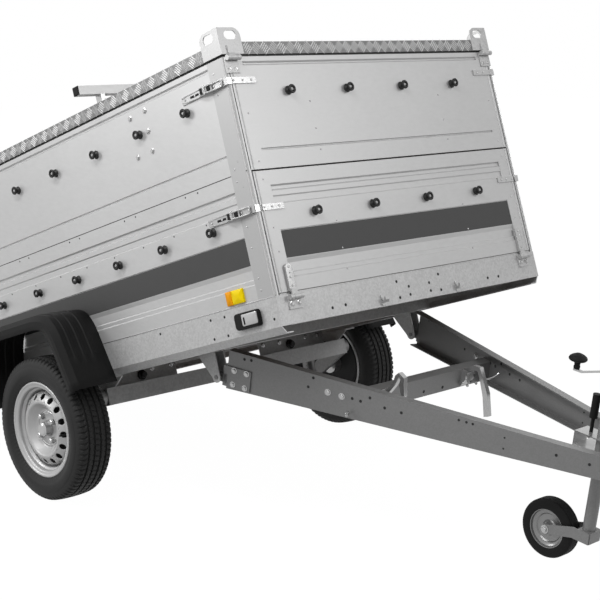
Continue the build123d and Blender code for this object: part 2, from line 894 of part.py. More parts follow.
# Pivot plates: bolted to the beams' webs, each with a straight lug and the pivot pin
with BuildPart() as pivot_plates:
    with BuildSketch(web_plane):
        with Locations(((plate_long - plate_back) / 2, (plate_low + plate_high) / 2)):
            Rectangle(plate_long + plate_back, plate_high - plate_low)
    extrude(amount=plate_thick)
    with BuildSketch(side(bar, -pivot_y)):
        with Locations((12, 0)):
            Rectangle(36, 2 * hanger_boss - 8)
        Circle(hanger_boss - 4)
    extrude(amount=plate_thick / 2, both=True)
    with BuildSketch(side(bar, -pivot_y)):
        Circle(pin_radius)
    extrude(amount=hanger_gap / 2 + hanger_sheet + 3, both=True)
    mirror(about=Plane.XZ)
save(pivot_plates, "pivot_plates")

# Tipping latches on the crossbar: one lever hangs locked, the other stands open
latch_face = crossbar_x
hanging = (
    (latch_face + 4, crossbar_high), (latch_face + 39, 89), (latch_face + 70, 91),
    (latch_face + 92, 50), (latch_face + 117, 5), (latch_face + 137, -76), (latch_face + 117, -84),
    (latch_face + 100, -12), (latch_face + 79, 40), (latch_face + 62, 74), (latch_face + 39, 72),
    (latch_face + 18, 58), (latch_face + 4, 50),
)
standing = (
    (latch_face + 4, 46), (latch_face + 26, 48), (latch_face + 62, 102), (latch_face + 70, 122),
    (latch_face + 74, 136), (latch_face + 83, 131), (latch_face + 80, 108), (latch_face + 99, 70),
    (latch_face + 108, 77), (latch_face + 97, 140), (latch_face + 72, 151), (latch_face + 58, 136),
    (latch_face + 52, 106), (latch_face + 18, 64), (latch_face + 4, 64),
)
with BuildPart() as tip_latches:
    for place, lever in ((latch_y, hanging), (-latch_y, standing)):
        with BuildSketch(side(bar, place)):
            with BuildLine():
                Polyline(
                    (latch_face, crossbar_low + bar_web),
                    (latch_face, crossbar_high),
                    (latch_face + latch_bracket, crossbar_high),
                    (latch_face + latch_bracket, crossbar_high / 2),
                    (latch_face + bar_web, crossbar_low + bar_web),
                    close=True,
                )
            make_face()
        extrude(amount=latch_bracket, both=True)
        with BuildSketch(side(bar, place)):
            with Locations((latch_face + latch_bracket / 2 + bar_web, crossbar_high / 2)):
                Rectangle(latch_bracket, 2 * crossbar_high)
        extrude(amount=latch_bracket - bar_web, both=True, mode=Mode.SUBTRACT)
        with BuildSketch(side(bar, place)):
            with BuildLine():
                Polyline(*lever, close=True)
            make_face()
            with Locations((latch_face + latch_bracket / 2, crossbar_high - latch_bracket / 2)):
                Circle(latch_bracket / 4)
        extrude(amount=latch_width / 2, both=True)
        with BuildSketch(side(bar, place)):
            with Locations((latch_face + latch_bracket / 2, crossbar_high - latch_bracket / 2)):
                Circle(hinge_pin)
        extrude(amount=latch_bracket, both=True)
save(tip_latches, "tip_latches")

# Catches on the front rail that the latches close over
with BuildPart() as tip_catches:
    for place in (-catch_y, catch_y):
        with BuildSketch(side(bed, place)):
            with BuildLine():
                Polyline(
                    (front_x, catch_z - 18), (front_x + 4, catch_z - 18), (front_x + 4, catch_z - 9),
                    (front_x + 18, catch_z - 9), (front_x + 24, catch_z), (front_x + 24, catch_z + 10),
                    (front_x + 18, catch_z + 10), (front_x + 15, catch_z), (front_x + 4, catch_z),
                    (front_x + 4, catch_z + 18), (front_x, catch_z + 18),
                    close=True,
                )
            make_face()
        extrude(amount=latch_width / 2, both=True)
save(tip_catches, "tip_catches")

# Coupling: base plate on the beams, pressed housing and ball socket
base_low = bar_top + fit_gap
base_high = base_low + coupler_base
crown_z = ball_z + coupler_radius - 2
housing_rear = coupler_back + 60
with BuildPart() as coupling:
    with BuildSketch(level(bar, base_low)):
        with BuildLine():
            Polyline(
                (coupler_back, -beam_half_at(coupler_back)),
                (bar_front_x + 20, -coupler_half),
                (bar_front_x + 20, coupler_half),
                (coupler_back, beam_half_at(coupler_back)),
                close=True,
            )
        make_face()
    extrude(amount=coupler_base)
    with BuildSketch(side(bar, 0)):
        with BuildLine():
            Polyline(
                (housing_rear, base_high),
                (housing_rear, base_high + 13),
                (ball_x - 70, crown_z),
                (ball_x, crown_z),
                (ball_x, ball_z - coupler_under),
                (bar_front_x + 50, ball_z - coupler_under),
                (bar_front_x + 20, base_high),
                close=True,
            )
        make_face()
    extrude(amount=coupler_half, both=True)
    with BuildSketch(side(bar, 0)):
        with BuildLine():
            Polyline(
                (housing_rear + coupler_sheet, base_high),
                (housing_rear + coupler_sheet, base_high + 9),
                (ball_x - 70, crown_z - coupler_sheet),
                (ball_x - coupler_radius - 6, crown_z - coupler_sheet),
                (ball_x - coupler_radius - 6, ball_z - coupler_under - 6),
                (bar_front_x + 46, ball_z - coupler_under - 6),
                (bar_front_x + 20, base_high),
                close=True,
            )
        make_face()
    extrude(amount=coupler_half - coupler_sheet, both=True, mode=Mode.SUBTRACT)
    with Locations(bar * Location((ball_x, 0, ball_z))):
        Sphere(coupler_radius)
        Sphere(ball_radius + ball_play, mode=Mode.SUBTRACT)
    with BuildSketch(level(bar, ball_z - coupler_under)):
        with Locations((ball_x, 0)):
            Rectangle(3 * coupler_radius, 3 * coupler_radius)
    extrude(amount=-2 * coupler_radius, mode=Mode.SUBTRACT)
save(coupling, "coupling")

with BuildPart() as coupling_handle:
    handle_low = ball_z + coupler_radius + fit_gap
    with BuildSketch(side(bar, 0)):
        with BuildLine():
            Polyline(
                (ball_x + 6, handle_low),
                (ball_x - 60, handle_low),
                (ball_x - 210, handle_low + 42),
                (ball_x - 216, handle_low + 56),
                (ball_x - 60, handle_low + 22),
                (ball_x + 2, handle_low + 10),
                close=True,
            )
        make_face()
    extrude(amount=coupler_half - grip_radius, both=True)
save(coupling_handle, "coupling_handle")

# Jockey wheel: clamp, tube and crank on the drawbar
tube_axis = Location((jockey_x, jockey_y))
with BuildPart() as clamp:
    with BuildSketch(level(bar, clamp_low - clamp_plate)):
        with BuildLine():
            Polyline(*between_beams(jockey_x - 90, jockey_x + 40), close=True)
        make_face()
        with Locations(tube_axis):
            Circle(jockey_tube + fit_gap, mode=Mode.SUBTRACT)
    extrude(amount=clamp_plate)
    with BuildSketch(side(bar, jockey_y)):
        with Locations((jockey_x - 25, clamp_low + clamp_high / 2)):
            Rectangle(clamp_long, clamp_high)
            Rectangle(clamp_long - 2 * clamp_sheet, clamp_high - 2 * clamp_sheet, mode=Mode.SUBTRACT)
    extrude(amount=clamp_half, both=True)
    with BuildSketch(level(bar, clamp_low - clamp_high)):
        with Locations(tube_axis):
            Circle(jockey_tube + fit_gap)
    extrude(amount=3 * clamp_high, mode=Mode.SUBTRACT)
save(clamp, "jockey_clamp")

with BuildPart() as tube:
    with BuildSketch(level(bar, tube_low)):
        with Locations(tube_axis):
            Circle(jockey_tube)
            Circle(jockey_leg + fit_gap, mode=Mode.SUBTRACT)
    extrude(amount=tube_top - tube_low)
save(tube, "jockey_tube")

crank_low = tube_top + fit_gap + crank_thick
arm_high = tube_top - 10
with BuildPart() as crank:
    with BuildSketch(level(bar, tube_top + fit_gap)):
        with Locations(tube_axis):
            Circle(jockey_tube)
    extrude(amount=crank_thick)
    with BuildSketch(side(bar, jockey_y)):
        with BuildLine():
            Polyline(
                (jockey_x + 8, crank_low),
                (jockey_x + 8, crank_low + crank_thick),
                (jockey_x - 56, crank_low + crank_thick),
                (jockey_x - 121, arm_high),
                (caster_x - 9, arm_high),
                (caster_x - 9, arm_high - crank_thick),
                (jockey_x - 119, arm_high - crank_thick),
                (jockey_x - 54, crank_low),
                close=True,
            )
        make_face()
    extrude(amount=crank_thick, both=True)
    with BuildSketch(level(bar, arm_high)):
        with Locations((caster_x, jockey_y)):
            Circle(knob_pin)
    extrude(amount=crank_low - arm_high)
save(crank, "jockey_crank")

with BuildPart() as knob:
    knob_axis = Axis((bar * Location((caster_x, jockey_y, 0))).position, level(bar, 0).z_dir)
    with BuildSketch(side(bar, jockey_y)):
        with BuildLine():
            Polyline(
                (caster_x + knob_pin + fit_gap, arm_high + fit_gap),
                (caster_x + knob_radius / 2.4, arm_high + fit_gap),
                (caster_x + knob_radius / 2.8, arm_high + knob_radius),
                (caster_x + knob_radius, arm_high + 30),
                (caster_x + knob_radius, arm_high + 40),
                (caster_x + knob_radius / 1.8, arm_high + 52),
                (caster_x, arm_high + 54),
                (caster_x, crank_low + fit_gap),
                (caster_x + knob_pin + fit_gap, crank_low + fit_gap),
                close=True,
            )
        make_face()
    revolve(axis=knob_axis)
save(knob, "crank_knob")

clamp_top = clamp_low + clamp_high + fit_gap
with BuildPart() as clamp_handle:
    with BuildSketch(level(bar, clamp_top)):
        with Locations((jockey_x - grip_back, jockey_y)):
            Circle(grip_rod)
    extrude(amount=clamp_high)
    with BuildSketch(level(bar, clamp_top + clamp_high)):
        with Locations((jockey_x - grip_back, jockey_y)):
            Circle(grip_radius)
    extrude(amount=80)
save(clamp_handle, "clamp_handle")

# Jockey leg: spindle that slides, leg and fork that swivel, and the caster wheel
with BuildPart() as spindle:
    with BuildSketch(level(bar, leg_low + 20)):
        with Locations(tube_axis):
            Circle(8)
    extrude(amount=leg_up - leg_low)
save(spindle, "jockey_spindle")

with BuildPart() as leg:
    with BuildSketch(level(bar, leg_low)):
        with Locations(tube_axis):
            Circle(jockey_leg)
    extrude(amount=leg_up - leg_low)
    with BuildSketch(level(bar, leg_low + 20 - fit_gap)):
        with Locations(tube_axis):
            Circle(jockey_leg - leg_wall)
    extrude(amount=leg_up - leg_low, mode=Mode.SUBTRACT)
save(leg, "jockey_leg")

fork_inner = caster_width / 2 + fork_gap
with BuildPart() as fork:
    for hand in (-1, 1):
        with BuildSketch(side(bar, jockey_y + hand * (fork_inner + fork_sheet / 2))):
            with BuildLine():
                Polyline(
                    (caster_x, caster_z - fork_boss),
                    (jockey_x - 40, leg_low),
                    (jockey_x + jockey_leg + fork_sheet, leg_low),
                    (jockey_x + jockey_leg + fork_sheet, leg_low + fork_high),
                    (jockey_x - 40, leg_low + fork_high),
                    (caster_x, caster_z + fork_boss),
                    close=True,
                )
            make_face()
            with Locations((caster_x, caster_z)):
                Circle(fork_boss)
        extrude(amount=fork_sheet / 2, both=True)
    with BuildSketch(level(bar, leg_low)):
        with Locations((jockey_x + 2, jockey_y)):
            Rectangle(2 * jockey_leg + 8, 2 * fork_inner)
            with Locations((-2, 0)):
                Circle(jockey_leg + fit_gap, mode=Mode.SUBTRACT)
    extrude(amount=fork_high)
    with BuildSketch(side(bar, jockey_y)):
        with Locations((caster_x, caster_z)):
            Circle(caster_pin)
    extrude(amount=fork_inner + fork_sheet, both=True)
save(fork, "jockey_fork")

caster_axis = Axis((bar * Location((caster_x, 0, caster_z))).position, (0, 1, 0))
with BuildPart() as caster_tyre:
    with BuildSketch(section(bar, caster_x)):
        with BuildLine():
            half = caster_width / 2
            Polyline(
                (jockey_y - half, caster_z + caster_rim_radius),
                (jockey_y - half + 4, caster_z + caster_radius),
                (jockey_y + half - 4, caster_z + caster_radius),
                (jockey_y + half, caster_z + caster_rim_radius),
                close=True,
            )
        make_face()
    revolve(axis=caster_axis)
save(caster_tyre, "caster_tyre")

with BuildPart() as caster_rim:
    with BuildSketch(section(bar, caster_x)):
        with BuildLine():
            Polyline(
                (jockey_y - half, caster_z + caster_pin + fit_gap),
                (jockey_y - half, caster_z + caster_hub),
                (jockey_y - caster_disc, caster_z + caster_hub),
                (jockey_y - caster_disc, caster_z + caster_rim_radius - 9),
                (jockey_y - half + 4, caster_z + caster_rim_radius - fit_gap),
                (jockey_y + half - 4, caster_z + caster_rim_radius - fit_gap),
                (jockey_y + caster_disc, caster_z + caster_rim_radius - 9),
                (jockey_y + caster_disc, caster_z + caster_hub),
                (jockey_y + half, caster_z + caster_hub),
                (jockey_y + half, caster_z + caster_pin + fit_gap),
                close=True,
            )
        make_face()
    revolve(axis=caster_axis)
save(caster_rim, "caster_rim")


def facing(corner, outward):
    """Plane on an upright wall face of the bed, with its Y axis up the wall."""
    across = Vector(0, 0, 1).cross(Vector(*outward))
    return placed(bed, Plane(origin=corner, x_dir=across, z_dir=outward))


# Cover hooks: spools with eight-sided ends, on both side walls, both end walls and both gates
with BuildPart() as hook:
    for low, high, outline in ((0, hook_out * 0.25, 8), (hook_out * 0.65, hook_out, 8)):
        with BuildSketch(Plane.XY.offset(low)):
            RegularPolygon(hook_base, outline)
        extrude(amount=high - low)
    with BuildSketch():
        Rectangle(2 * hook_neck, 2 * hook_neck)
    extrude(amount=hook_out * 0.8)


def save_hooks(seats, name):
    """Sets a hook on each seat, a wall point with its outward direction."""
    with BuildPart() as hooks:
        with Locations(*(facing(point, outward).location for point, outward in seats)):
            add(hook.part)
    save(hooks, name)


end_faces = ((front_x, 1, "front"), (rear_x, -1, "rear"))
bed_seats = [
    ((front_x - hook_first - number * hook_pitch, hand * half_width, row_z), (0, hand, 0))
    for number in range(hook_count)
    for row_z in hook_rows
    for hand in (-1, 1)
]
for face_x, out, end_name in end_faces:
    bed_seats += [((face_x, place, end_hook_rows[0]), (out, 0, 0)) for place in end_hook_places]
    gate_seats = [((face_x, place, end_hook_rows[1]), (out, 0, 0)) for place in end_hook_places]
    save_hooks(gate_seats, f"cover_hooks_{end_name}_gate")
save_hooks(bed_seats, "cover_hooks_bed")


def strike(face_x, out, row_z, outer_y):
    """Adds a strike strip on an end face, from its outer end inwards, on both hands."""
    for hand in (-1, 1):
        with BuildSketch(facing((face_x, 0, 0), (out, 0, 0))) as strip:
            with Locations((hand * (strike_end + outer_y) / 2, row_z)):
                Rectangle(outer_y - strike_end, strike_high)
        extrude(strip.sketch, amount=strike_thick)


# Corner latches on the side walls, with their strikes round the corner on the end walls and gates
with BuildPart() as corner_latches:
    for row_z in latch_rows:
        with BuildSketch(level(bed, row_z - latch_high / 2)):
            with BuildLine():
                start = front_x - latch_start
                Polyline(
                    (start, -half_width),
                    (start, -half_width - 8),
                    (start - 60, -half_width - 8),
                    (start - 70, -half_width - 18),
                    (start - 110, -half_width - 16),
                    (start - 130, -half_width - 4),
                    (start - latch_long, -half_width - 4),
                    (start - latch_long, -half_width),
                    close=True,
                )
            make_face()
        extrude(amount=latch_high)
    mirror(about=Plane.XZ)
    mirror(about=section(bed, box_mid))
    for face_x, out, end_name in end_faces:
        strike(face_x, out, latch_rows[0], half_width - wall - fit_gap)
save(corner_latches, "corner_latches")

for face_x, out, end_name in end_faces:
    with BuildPart() as gate_strikes:
        strike(face_x, out, latch_rows[1], half_width - wall - strike_gap)
    save(gate_strikes, f"{end_name}_gate_strikes")

# Side marker lamps and reflectors, and the rear lamps
with BuildPart() as side_lamps:
    for back, lamp_z, long, high, out in (
        (marker_back, marker_z, marker_long, marker_high, marker_out),
        (reflector_back, reflector_z, reflector_long, reflector_high, reflector_out),
    ):
        with BuildSketch(facing((front_x - back, -half_width, 0), (0, -1, 0))):
            with Locations((0, lamp_z)):
                RectangleRounded(long, high, reflector_out)
        extrude(amount=out, taper=15)
    mirror(about=Plane.XZ)
save(side_lamps, "side_lamps")

with BuildPart() as rear_lamps:
    with BuildSketch(facing((rear_x, 0, 0), (-1, 0, 0))):
        with Locations((-rear_lamp_y, rear_lamp_z), (rear_lamp_y, rear_lamp_z)):
            Rectangle(rear_lamp_long, rear_lamp_high)
    extrude(amount=rear_lamp_out, taper=15)
save(rear_lamps, "rear_lamps")
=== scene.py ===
# %% [markdown]
# # A tipping utility trailer
# The solids of the trailer come packed as a fixed frame: rails, walls, lid, drawbar and wheels.
# This lesson dresses them. It gives each metal its finish and adds what the solids leave out:
# tyre tread, pressed rims, tread-plate bars, rubber hooks, latches, rivets and lamps.
# Sizes below are in millimetres, because that is how a trailer is drawn; `to_row` turns them
# into the metres that the frame uses.

# %% Load the frame
import json
import math

import bmesh
import bpy
import numpy as np
from mathutils import Matrix


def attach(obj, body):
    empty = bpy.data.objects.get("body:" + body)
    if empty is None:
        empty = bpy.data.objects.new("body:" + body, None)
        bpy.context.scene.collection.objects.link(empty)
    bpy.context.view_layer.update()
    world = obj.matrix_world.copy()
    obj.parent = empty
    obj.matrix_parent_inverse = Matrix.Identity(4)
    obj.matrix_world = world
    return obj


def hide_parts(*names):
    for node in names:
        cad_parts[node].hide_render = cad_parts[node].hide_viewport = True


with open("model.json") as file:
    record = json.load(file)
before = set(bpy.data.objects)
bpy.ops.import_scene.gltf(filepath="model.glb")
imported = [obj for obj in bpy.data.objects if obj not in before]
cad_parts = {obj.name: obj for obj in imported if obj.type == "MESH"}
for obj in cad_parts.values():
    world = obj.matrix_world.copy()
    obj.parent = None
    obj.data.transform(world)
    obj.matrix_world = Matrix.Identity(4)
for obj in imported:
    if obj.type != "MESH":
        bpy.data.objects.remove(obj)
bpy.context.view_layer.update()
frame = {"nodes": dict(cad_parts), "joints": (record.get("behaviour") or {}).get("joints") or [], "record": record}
nodes = frame["nodes"]
joints = {joint["name"]: joint for joint in frame["joints"]}

# %% [markdown]
# ## Frames
# The bed is tipped back and the drawbar slopes down, so almost nothing is square to the ground.
# It is far easier to place a rivet in the bed's own frame, where the floor is level, and to turn
# the point afterwards. The angles are read from the joints: the jockey wheel slides along the
# drawbar's upright, and the tipping joint closes exactly when bed and drawbar are parallel.

# %% Frames of the bed, the drawbar and the wheels
MM = 1000  # millimetres in a metre
slide_axis = joints["jockey_slide"]["axis"]
slope = math.atan2(-slide_axis[0], -slide_axis[2])
tip = math.radians(joints["bed_tip"]["range_deg"][1]) - slope


def turned_about_y(angle):
    """Rotation matrix about Y: x runs to x cos + z sin, z runs to z cos - x sin."""
    c, s = math.cos(angle), math.sin(angle)
    return np.array([[c, 0, s], [0, 1, 0], [-s, 0, c]])


wheel_mid = np.array(joints["wheel_right_spin"]["pos_m"]) * [1, 0, 1]
BED = (turned_about_y(-tip), wheel_mid)
BAR = (turned_about_y(slope), np.array(joints["bed_tip"]["pos_m"]))
LEVEL = (np.eye(3), wheel_mid)
place_of = {
    "bed": BED, "lid": BED, "front_gate": BED, "rear_gate": BED, "wheel_right": LEVEL, "wheel_left": LEVEL,
    "drawbar": BAR, "jockey_caster": BAR, "caster_wheel": BAR,
}


def to_row(points, place):
    """Millimetres in a frame to metres in the row: turn the points, scale them, add the origin."""
    turn, origin = place
    return np.asarray(points, float) @ turn.T / MM + origin


def unit(vectors):
    """Vectors scaled to a length of 1."""
    vectors = np.asarray(vectors, float)
    return vectors / np.linalg.norm(vectors, axis=-1, keepdims=True)


def add_object(name, data):
    """A new object in the scene."""
    thing = bpy.data.objects.new(name, data)
    bpy.context.scene.collection.objects.link(thing)
    return thing


def pose(columns, place):
    """The matrix of an object whose axes are the columns."""
    return Matrix.Translation(place.tolist()) @ Matrix(np.stack(columns, 1).tolist()).to_4x4()


print("tip", round(math.degrees(tip), 3), "slope", round(math.degrees(slope), 3))

# %% [markdown]
# ## Camera
# The photograph was taken with a long lens from the front right, a little above the floor of the
# load bed. A long lens keeps the box's edges nearly parallel. The place and the aim were fitted
# to the straight edges of the walls and to the wheels' outlines.

# %% Camera
image_px = 600
focal_px = 1416.85
eye = to_row([4420.0, -3712.6, 1361.5], LEVEL)
forward = unit([-0.71137, 0.68238, -0.16824])
roll = math.radians(-1.06)
sensor = 36.0

level_right = unit(np.cross(forward, [0, 0, 1]))
level_up = np.cross(level_right, forward)
right = level_right * math.cos(roll) + level_up * math.sin(roll)
up = np.cross(right, forward)
camera_data = bpy.data.cameras.new("photo_camera")
camera_data.sensor_width = sensor
camera_data.lens = focal_px * sensor / image_px
camera_data.clip_end = 100
camera = add_object("photo_camera", camera_data)
camera.matrix_world = pose((right, up, -forward), eye)
bpy.context.scene.camera = camera
print("lens", round(camera_data.lens, 2), "eye", eye.round(3))

# %% [markdown]
# ## Shaders as arithmetic
# A finish is a formula: base grey plus a little noise, rougher where it is dark, and so on. The
# class below wraps a socket, so that `0.5 + spots * 0.1` adds the Math nodes that it says.

# %% Shader helpers
class Wire:
    """An output socket with arithmetic: each operator adds one Math node."""

    def __init__(self, finish, socket):
        self.finish, self.socket = finish, socket

    def math(self, operation, *operands):
        return self.finish.add("ShaderNodeMath", {"operation": operation}, dict(enumerate(operands)))

    def __add__(self, other):
        return self.math("ADD", self, other)

    def __mul__(self, other):
        return self.math("MULTIPLY", self, other)

    __radd__ = __add__


MIX_FIRST, MIX_SECOND, MIX_COLOUR = 6, 7, 2  # the colour sockets of a Mix node
finishes = {}


class Finish:
    """A material: its Principled shader, and one method that adds any other node."""

    def __init__(self, name, **sockets):
        self.material = bpy.data.materials.new(name)
        self.material.use_nodes = True
        self.tree = self.material.node_tree
        self.shader = self.tree.nodes["Principled BSDF"]
        finishes[name] = self.material
        for socket, value in sockets.items():
            self.give(socket.replace("_", " ").title().replace("Ior", "IOR"), value)

    def add(self, kind, settings=None, inputs=None, output=0):
        """Adds a node: settings first, then the values or wires of its sockets."""
        node = self.tree.nodes.new(kind)
        for key, value in (settings or {}).items():
            setattr(node, key, value)
        for key, value in (inputs or {}).items():
            self.join(node.inputs[key], value)
        return Wire(self, node.outputs[output])

    def join(self, socket, value):
        if isinstance(value, Wire):
            self.tree.links.new(value.socket, socket)
        else:
            socket.default_value = (*value, 1) if socket.type == "RGBA" else value

    def give(self, socket, value):
        self.join(self.shader.inputs[socket], value)

    def place(self, scale=(1, 1, 1), rotation=(0, 0, 0)):
        """Object coordinates, turned and scaled."""
        own = self.add("ShaderNodeTexCoord", output="Object")
        return self.add("ShaderNodeMapping", None, {"Vector": own, "Rotation": rotation, "Scale": scale})

    def noise(self, scale, detail=3.0, stretch=(1, 1, 1), rotation=(0, 0, 0)):
        inputs = {"Vector": self.place(stretch, rotation), "Scale": scale, "Detail": detail}
        return self.add("ShaderNodeTexNoise", None, inputs)

    def mix(self, factor, *ends):
        """Colour between two colours, where a number stands for a grey."""
        first, second = (end if isinstance(end, tuple) else (end,) * 3 for end in ends)
        inputs = {"Factor": factor, MIX_FIRST: first, MIX_SECOND: second}
        return self.add("ShaderNodeMix", {"data_type": "RGBA"}, inputs, output=MIX_COLOUR)

    def bump(self, height, strength, distance):
        inputs = {"Height": height, "Strength": strength, "Distance": distance}
        self.give("Normal", self.add("ShaderNodeBump", None, inputs))


# %% [markdown]
# ## Metal sheet of the walls
# The walls are zinc-aluminium coated sheet. Close up it has a soft, fine grain; from a few steps
# away it is an even satin grey with slow drifts of tone. Full mirror metal would look black and
# white in a studio, so the coat is part metallic and fairly rough.

# %% Wall sheet
tilt = (0, tip, 0)
sheet = Finish("wall_sheet", metallic=0.3, roughness=0.4)
drift = sheet.noise(1.7, 2.0)
grain = sheet.noise(90, 4.0, (0.35, 0.35, 1.0), tilt)
speck = sheet.noise(420, 2.0)
tone = drift * 0.35 + grain * 0.4 + speck * 0.25
sheet.give("Base Color", sheet.mix(tone, 0.44, 0.60))
sheet.give("Roughness", 0.34 + grain * 0.16)
sheet.bump(grain + speck * 0.5, 0.05, 0.0004)
finishes["anodised"] = sheet.material


# %% [markdown]
# ## Hot-dip galvanising
# Zinc freezes in crystals a few millimetres wide, each with its own grey: the spangle. Voronoi
# cells give every crystal one random value. It moves the colour a little and the gloss more.

# %% Galvanised steel
def galvanised(name, dark, light, scale, rough=0.4, metallic=0.25):
    """Zinc with its spangle: a value for each crystal, and soft clouds over it."""
    zinc = Finish(name, metallic=metallic, roughness=rough)
    wobble = zinc.noise(30, 2.0)
    cells = {"Vector": zinc.place(), "Scale": scale, "Randomness": 1.0}
    crystal = zinc.add("ShaderNodeTexVoronoi", None, cells, output="Color")
    value = zinc.add("ShaderNodeSeparateColor", None, {"Color": crystal}, output=0)
    cloud = zinc.noise(14, 6.0)
    tone = value * 0.5 + cloud * 0.4 + wobble * 0.1
    zinc.give("Base Color", zinc.mix(tone, dark, light))
    zinc.give("Roughness", rough - 0.1 + value * 0.16 + cloud * 0.08)
    zinc.bump(value * 0.6 + wobble, 0.08, 0.0004)


galvanised("galvanised", 0.40, 0.60, 170)
# The next two are the same galvanising, darkened as painted shade for the drawbar and for the parts under the bed.
galvanised("drawbar_zinc", 0.19, 0.25, 220, 0.42, 0.3)
galvanised("underside_zinc", 0.28, 0.46, 120, 0.5)


# %% [markdown]
# ## The other finishes
# Bright zinc on the small fittings, rolled aluminium on the lid, silver paint on the rims, moulded
# black plastic, rubber, plywood under a brown film, and the lenses of the lamps.

# %% Small fittings, rims, plastics, rubber, board and lenses
def plain(name, dark, light, rough, metallic=0.0, scale=60, bump=0.05, specular=0.5, coat=0.0):
    """An even finish: noise between two colours, and a little unevenness."""
    finish = Finish(name, metallic=metallic, roughness=rough, specular_ior_level=specular, coat_weight=coat)
    fine = finish.noise(scale, 3.0)
    broad = finish.noise(scale / 14, 2.0)
    finish.give("Base Color", finish.mix(fine * 0.5 + broad * 0.5, dark, light))
    finish.give("Roughness", rough - 0.05 + fine * 0.1)
    finish.bump(fine, bump, 0.0003)


plain("zinc", 0.40, 0.52, 0.24, 0.65)
plain("corner_sheet", 0.40, 0.45, 0.42, 0.3, 90)
plain("caster_zinc", 0.22, 0.26, 0.3, 0.6, 40, 0.02)
plain("rim_silver", 0.44, 0.48, 0.4, 0.25, 200, 0.04, coat=0.2)
# Tread plate and its bars are one aluminium: the plate is darkened as painted shade, the bars lightened as a
# painted highlight.
plain("tread_plate", 0.15, 0.21, 0.4, 0.2, 120)
plain("tread_bar", 0.56, 0.70, 0.5, 0.1, 120, specular=0.3)
plain("black_plastic", 0.005, 0.011, 0.6, 0.0, 400, 0.12, specular=0.14)
plain("rubber", 0.004, 0.008, 0.45, 0.0, 300, 0.1, specular=0.3)
plain("tyre", 0.013, 0.030, 0.62, 0.0, 260, 0.15, specular=0.2)
plain("caster_rubber", 0.003, 0.008, 0.6, 0.0, 260, 0.1, specular=0.15)
plain("dark_strip", 0.046, 0.058, 0.5, 0.0, 300, 0.02, specular=0.3)
# Near-black: painted shade in the holes and behind the rims' vents, and the dark of the seams' joints.
plain("painted_shade_and_joint_dark", 0.004, 0.010, 0.8)
plain("amber_lens", (0.88, 0.34, 0.0), (0.94, 0.39, 0.0), 0.35, 0.0, 300, specular=0.15)
plain("yellow_lens", (0.98, 0.70, 0.0), (1.0, 0.76, 0.0), 0.35, 0.0, 300, specular=0.15)
plain("red_lens", (0.42, 0.01, 0.01), (0.52, 0.02, 0.01), 0.2, 0.0, 300, coat=0.5)
plain("clear_lens", 0.42, 0.58, 0.15, 0.2, 200, coat=0.6)

board = Finish("plywood", roughness=0.5)
fibre = board.noise(26, 4.0, (0.12, 1.0, 1.0), tilt)
squares = {"Vector": board.place(rotation=tilt), "Scale": 220.0}
mesh_print = board.add("ShaderNodeTexChecker", None, squares, output=1)
board.give("Base Color", board.mix(fibre, (0.075, 0.038, 0.02), (0.14, 0.075, 0.04)))
board.bump(mesh_print * 0.5 + fibre, 0.2, 0.0005)

# A node takes the finish of its slot in the record, apart from these.
# The two darker zinc finishes below are painted shade: on the drawbar and under the bed.
special_finish = {
    "underside_zinc": ("cross_members", "pivot_member", "axle_beam", "axle_arms"),
    "drawbar_zinc": (
        "drawbar_beams", "drawbar_crossbar", "pivot_plates", "jockey_leg", "jockey_fork", "jockey_tube",
    ),
    "zinc": ("jockey_clamp", "jockey_spindle", "roof_bar_posts"),
    "caster_rubber": ("caster_tyre",),
}
node_finish = {part["node"]: part["material_slot"] for part in frame["record"]["subparts"]}
node_finish.update((member, name) for name, members in special_finish.items() for member in members)
for member, finish_name in node_finish.items():
    nodes[member].data.materials.clear()
    nodes[member].data.materials.append(finishes[finish_name])
print("nodes without a finish", sorted(set(nodes) - set(node_finish)))

# %% [markdown]
# ## Surfaces as arrays
# Every new piece is a surface: a grid of points worked out as one numpy array. A turned part is a
# profile swept round an axis; a rod is a circle carried along a path; a lamp is a rounded rectangle
# at several heights. The helpers return points and faces, and `piece` joins them into one mesh.

# %% Mesh helpers
def grid_faces(rows, columns, close_rows=False, close_columns=False):
    """Quads between neighbours of a grid of points, wrapping round where it is closed."""
    r = np.arange(rows if close_rows else rows - 1)
    c = np.arange(columns if close_columns else columns - 1)
    r, c = np.meshgrid(r, c, indexing="ij")
    below, beside = (r + 1) % rows * columns, (c + 1) % columns
    r = r * columns
    return np.stack([r + c, below + c, below + beside, r + beside], -1).reshape(-1, 4)


def basis(normal):
    """Two unit vectors that stand square to a normal and to each other, and the normal's own."""
    normal = unit(normal)
    helper = np.array([0, 0, 1.0]) if abs(normal[2]) < 0.9 else np.array([1.0, 0, 0])
    first = unit(np.cross(helper, normal))
    return first, np.cross(normal, first), normal


def smooth_line(points, rounds=3):
    """Corner cutting: each round puts two points a quarter in from each corner, ends kept."""
    line = np.asarray(points, float)
    for _ in range(rounds):
        inner = np.stack([line[:-1] * 0.75 + line[1:] * 0.25, line[:-1] * 0.25 + line[1:] * 0.75], 1)
        line = np.concatenate([line[:1], inner.reshape(-1, line.shape[1])[1:-1], line[-1:]])
    return line


def turned(profile, steps=32, origin=(0, 0, 0), axis=(0, 0, 1), sides=None):
    """A profile of (height, radius) swept round the axis; sides makes it a prism, such as 6 for a nut."""
    profile = np.asarray(profile, float)
    angle = np.arange(steps) * 2 * math.pi / steps
    first, second, normal = basis(axis)
    reach = np.ones(steps)
    if sides:
        part = math.pi / sides
        reach = math.cos(part) / np.cos(np.mod(angle, 2 * part) - part)
    ring = first * np.cos(angle)[:, None] + second * np.sin(angle)[:, None]
    points = (
        np.asarray(origin, float)
        + profile[:, None, :1] * normal
        + (profile[:, None, 1:] * reach[None, :, None]) * ring[None]
    )
    return points.reshape(-1, 3), grid_faces(len(profile), steps, close_columns=True)


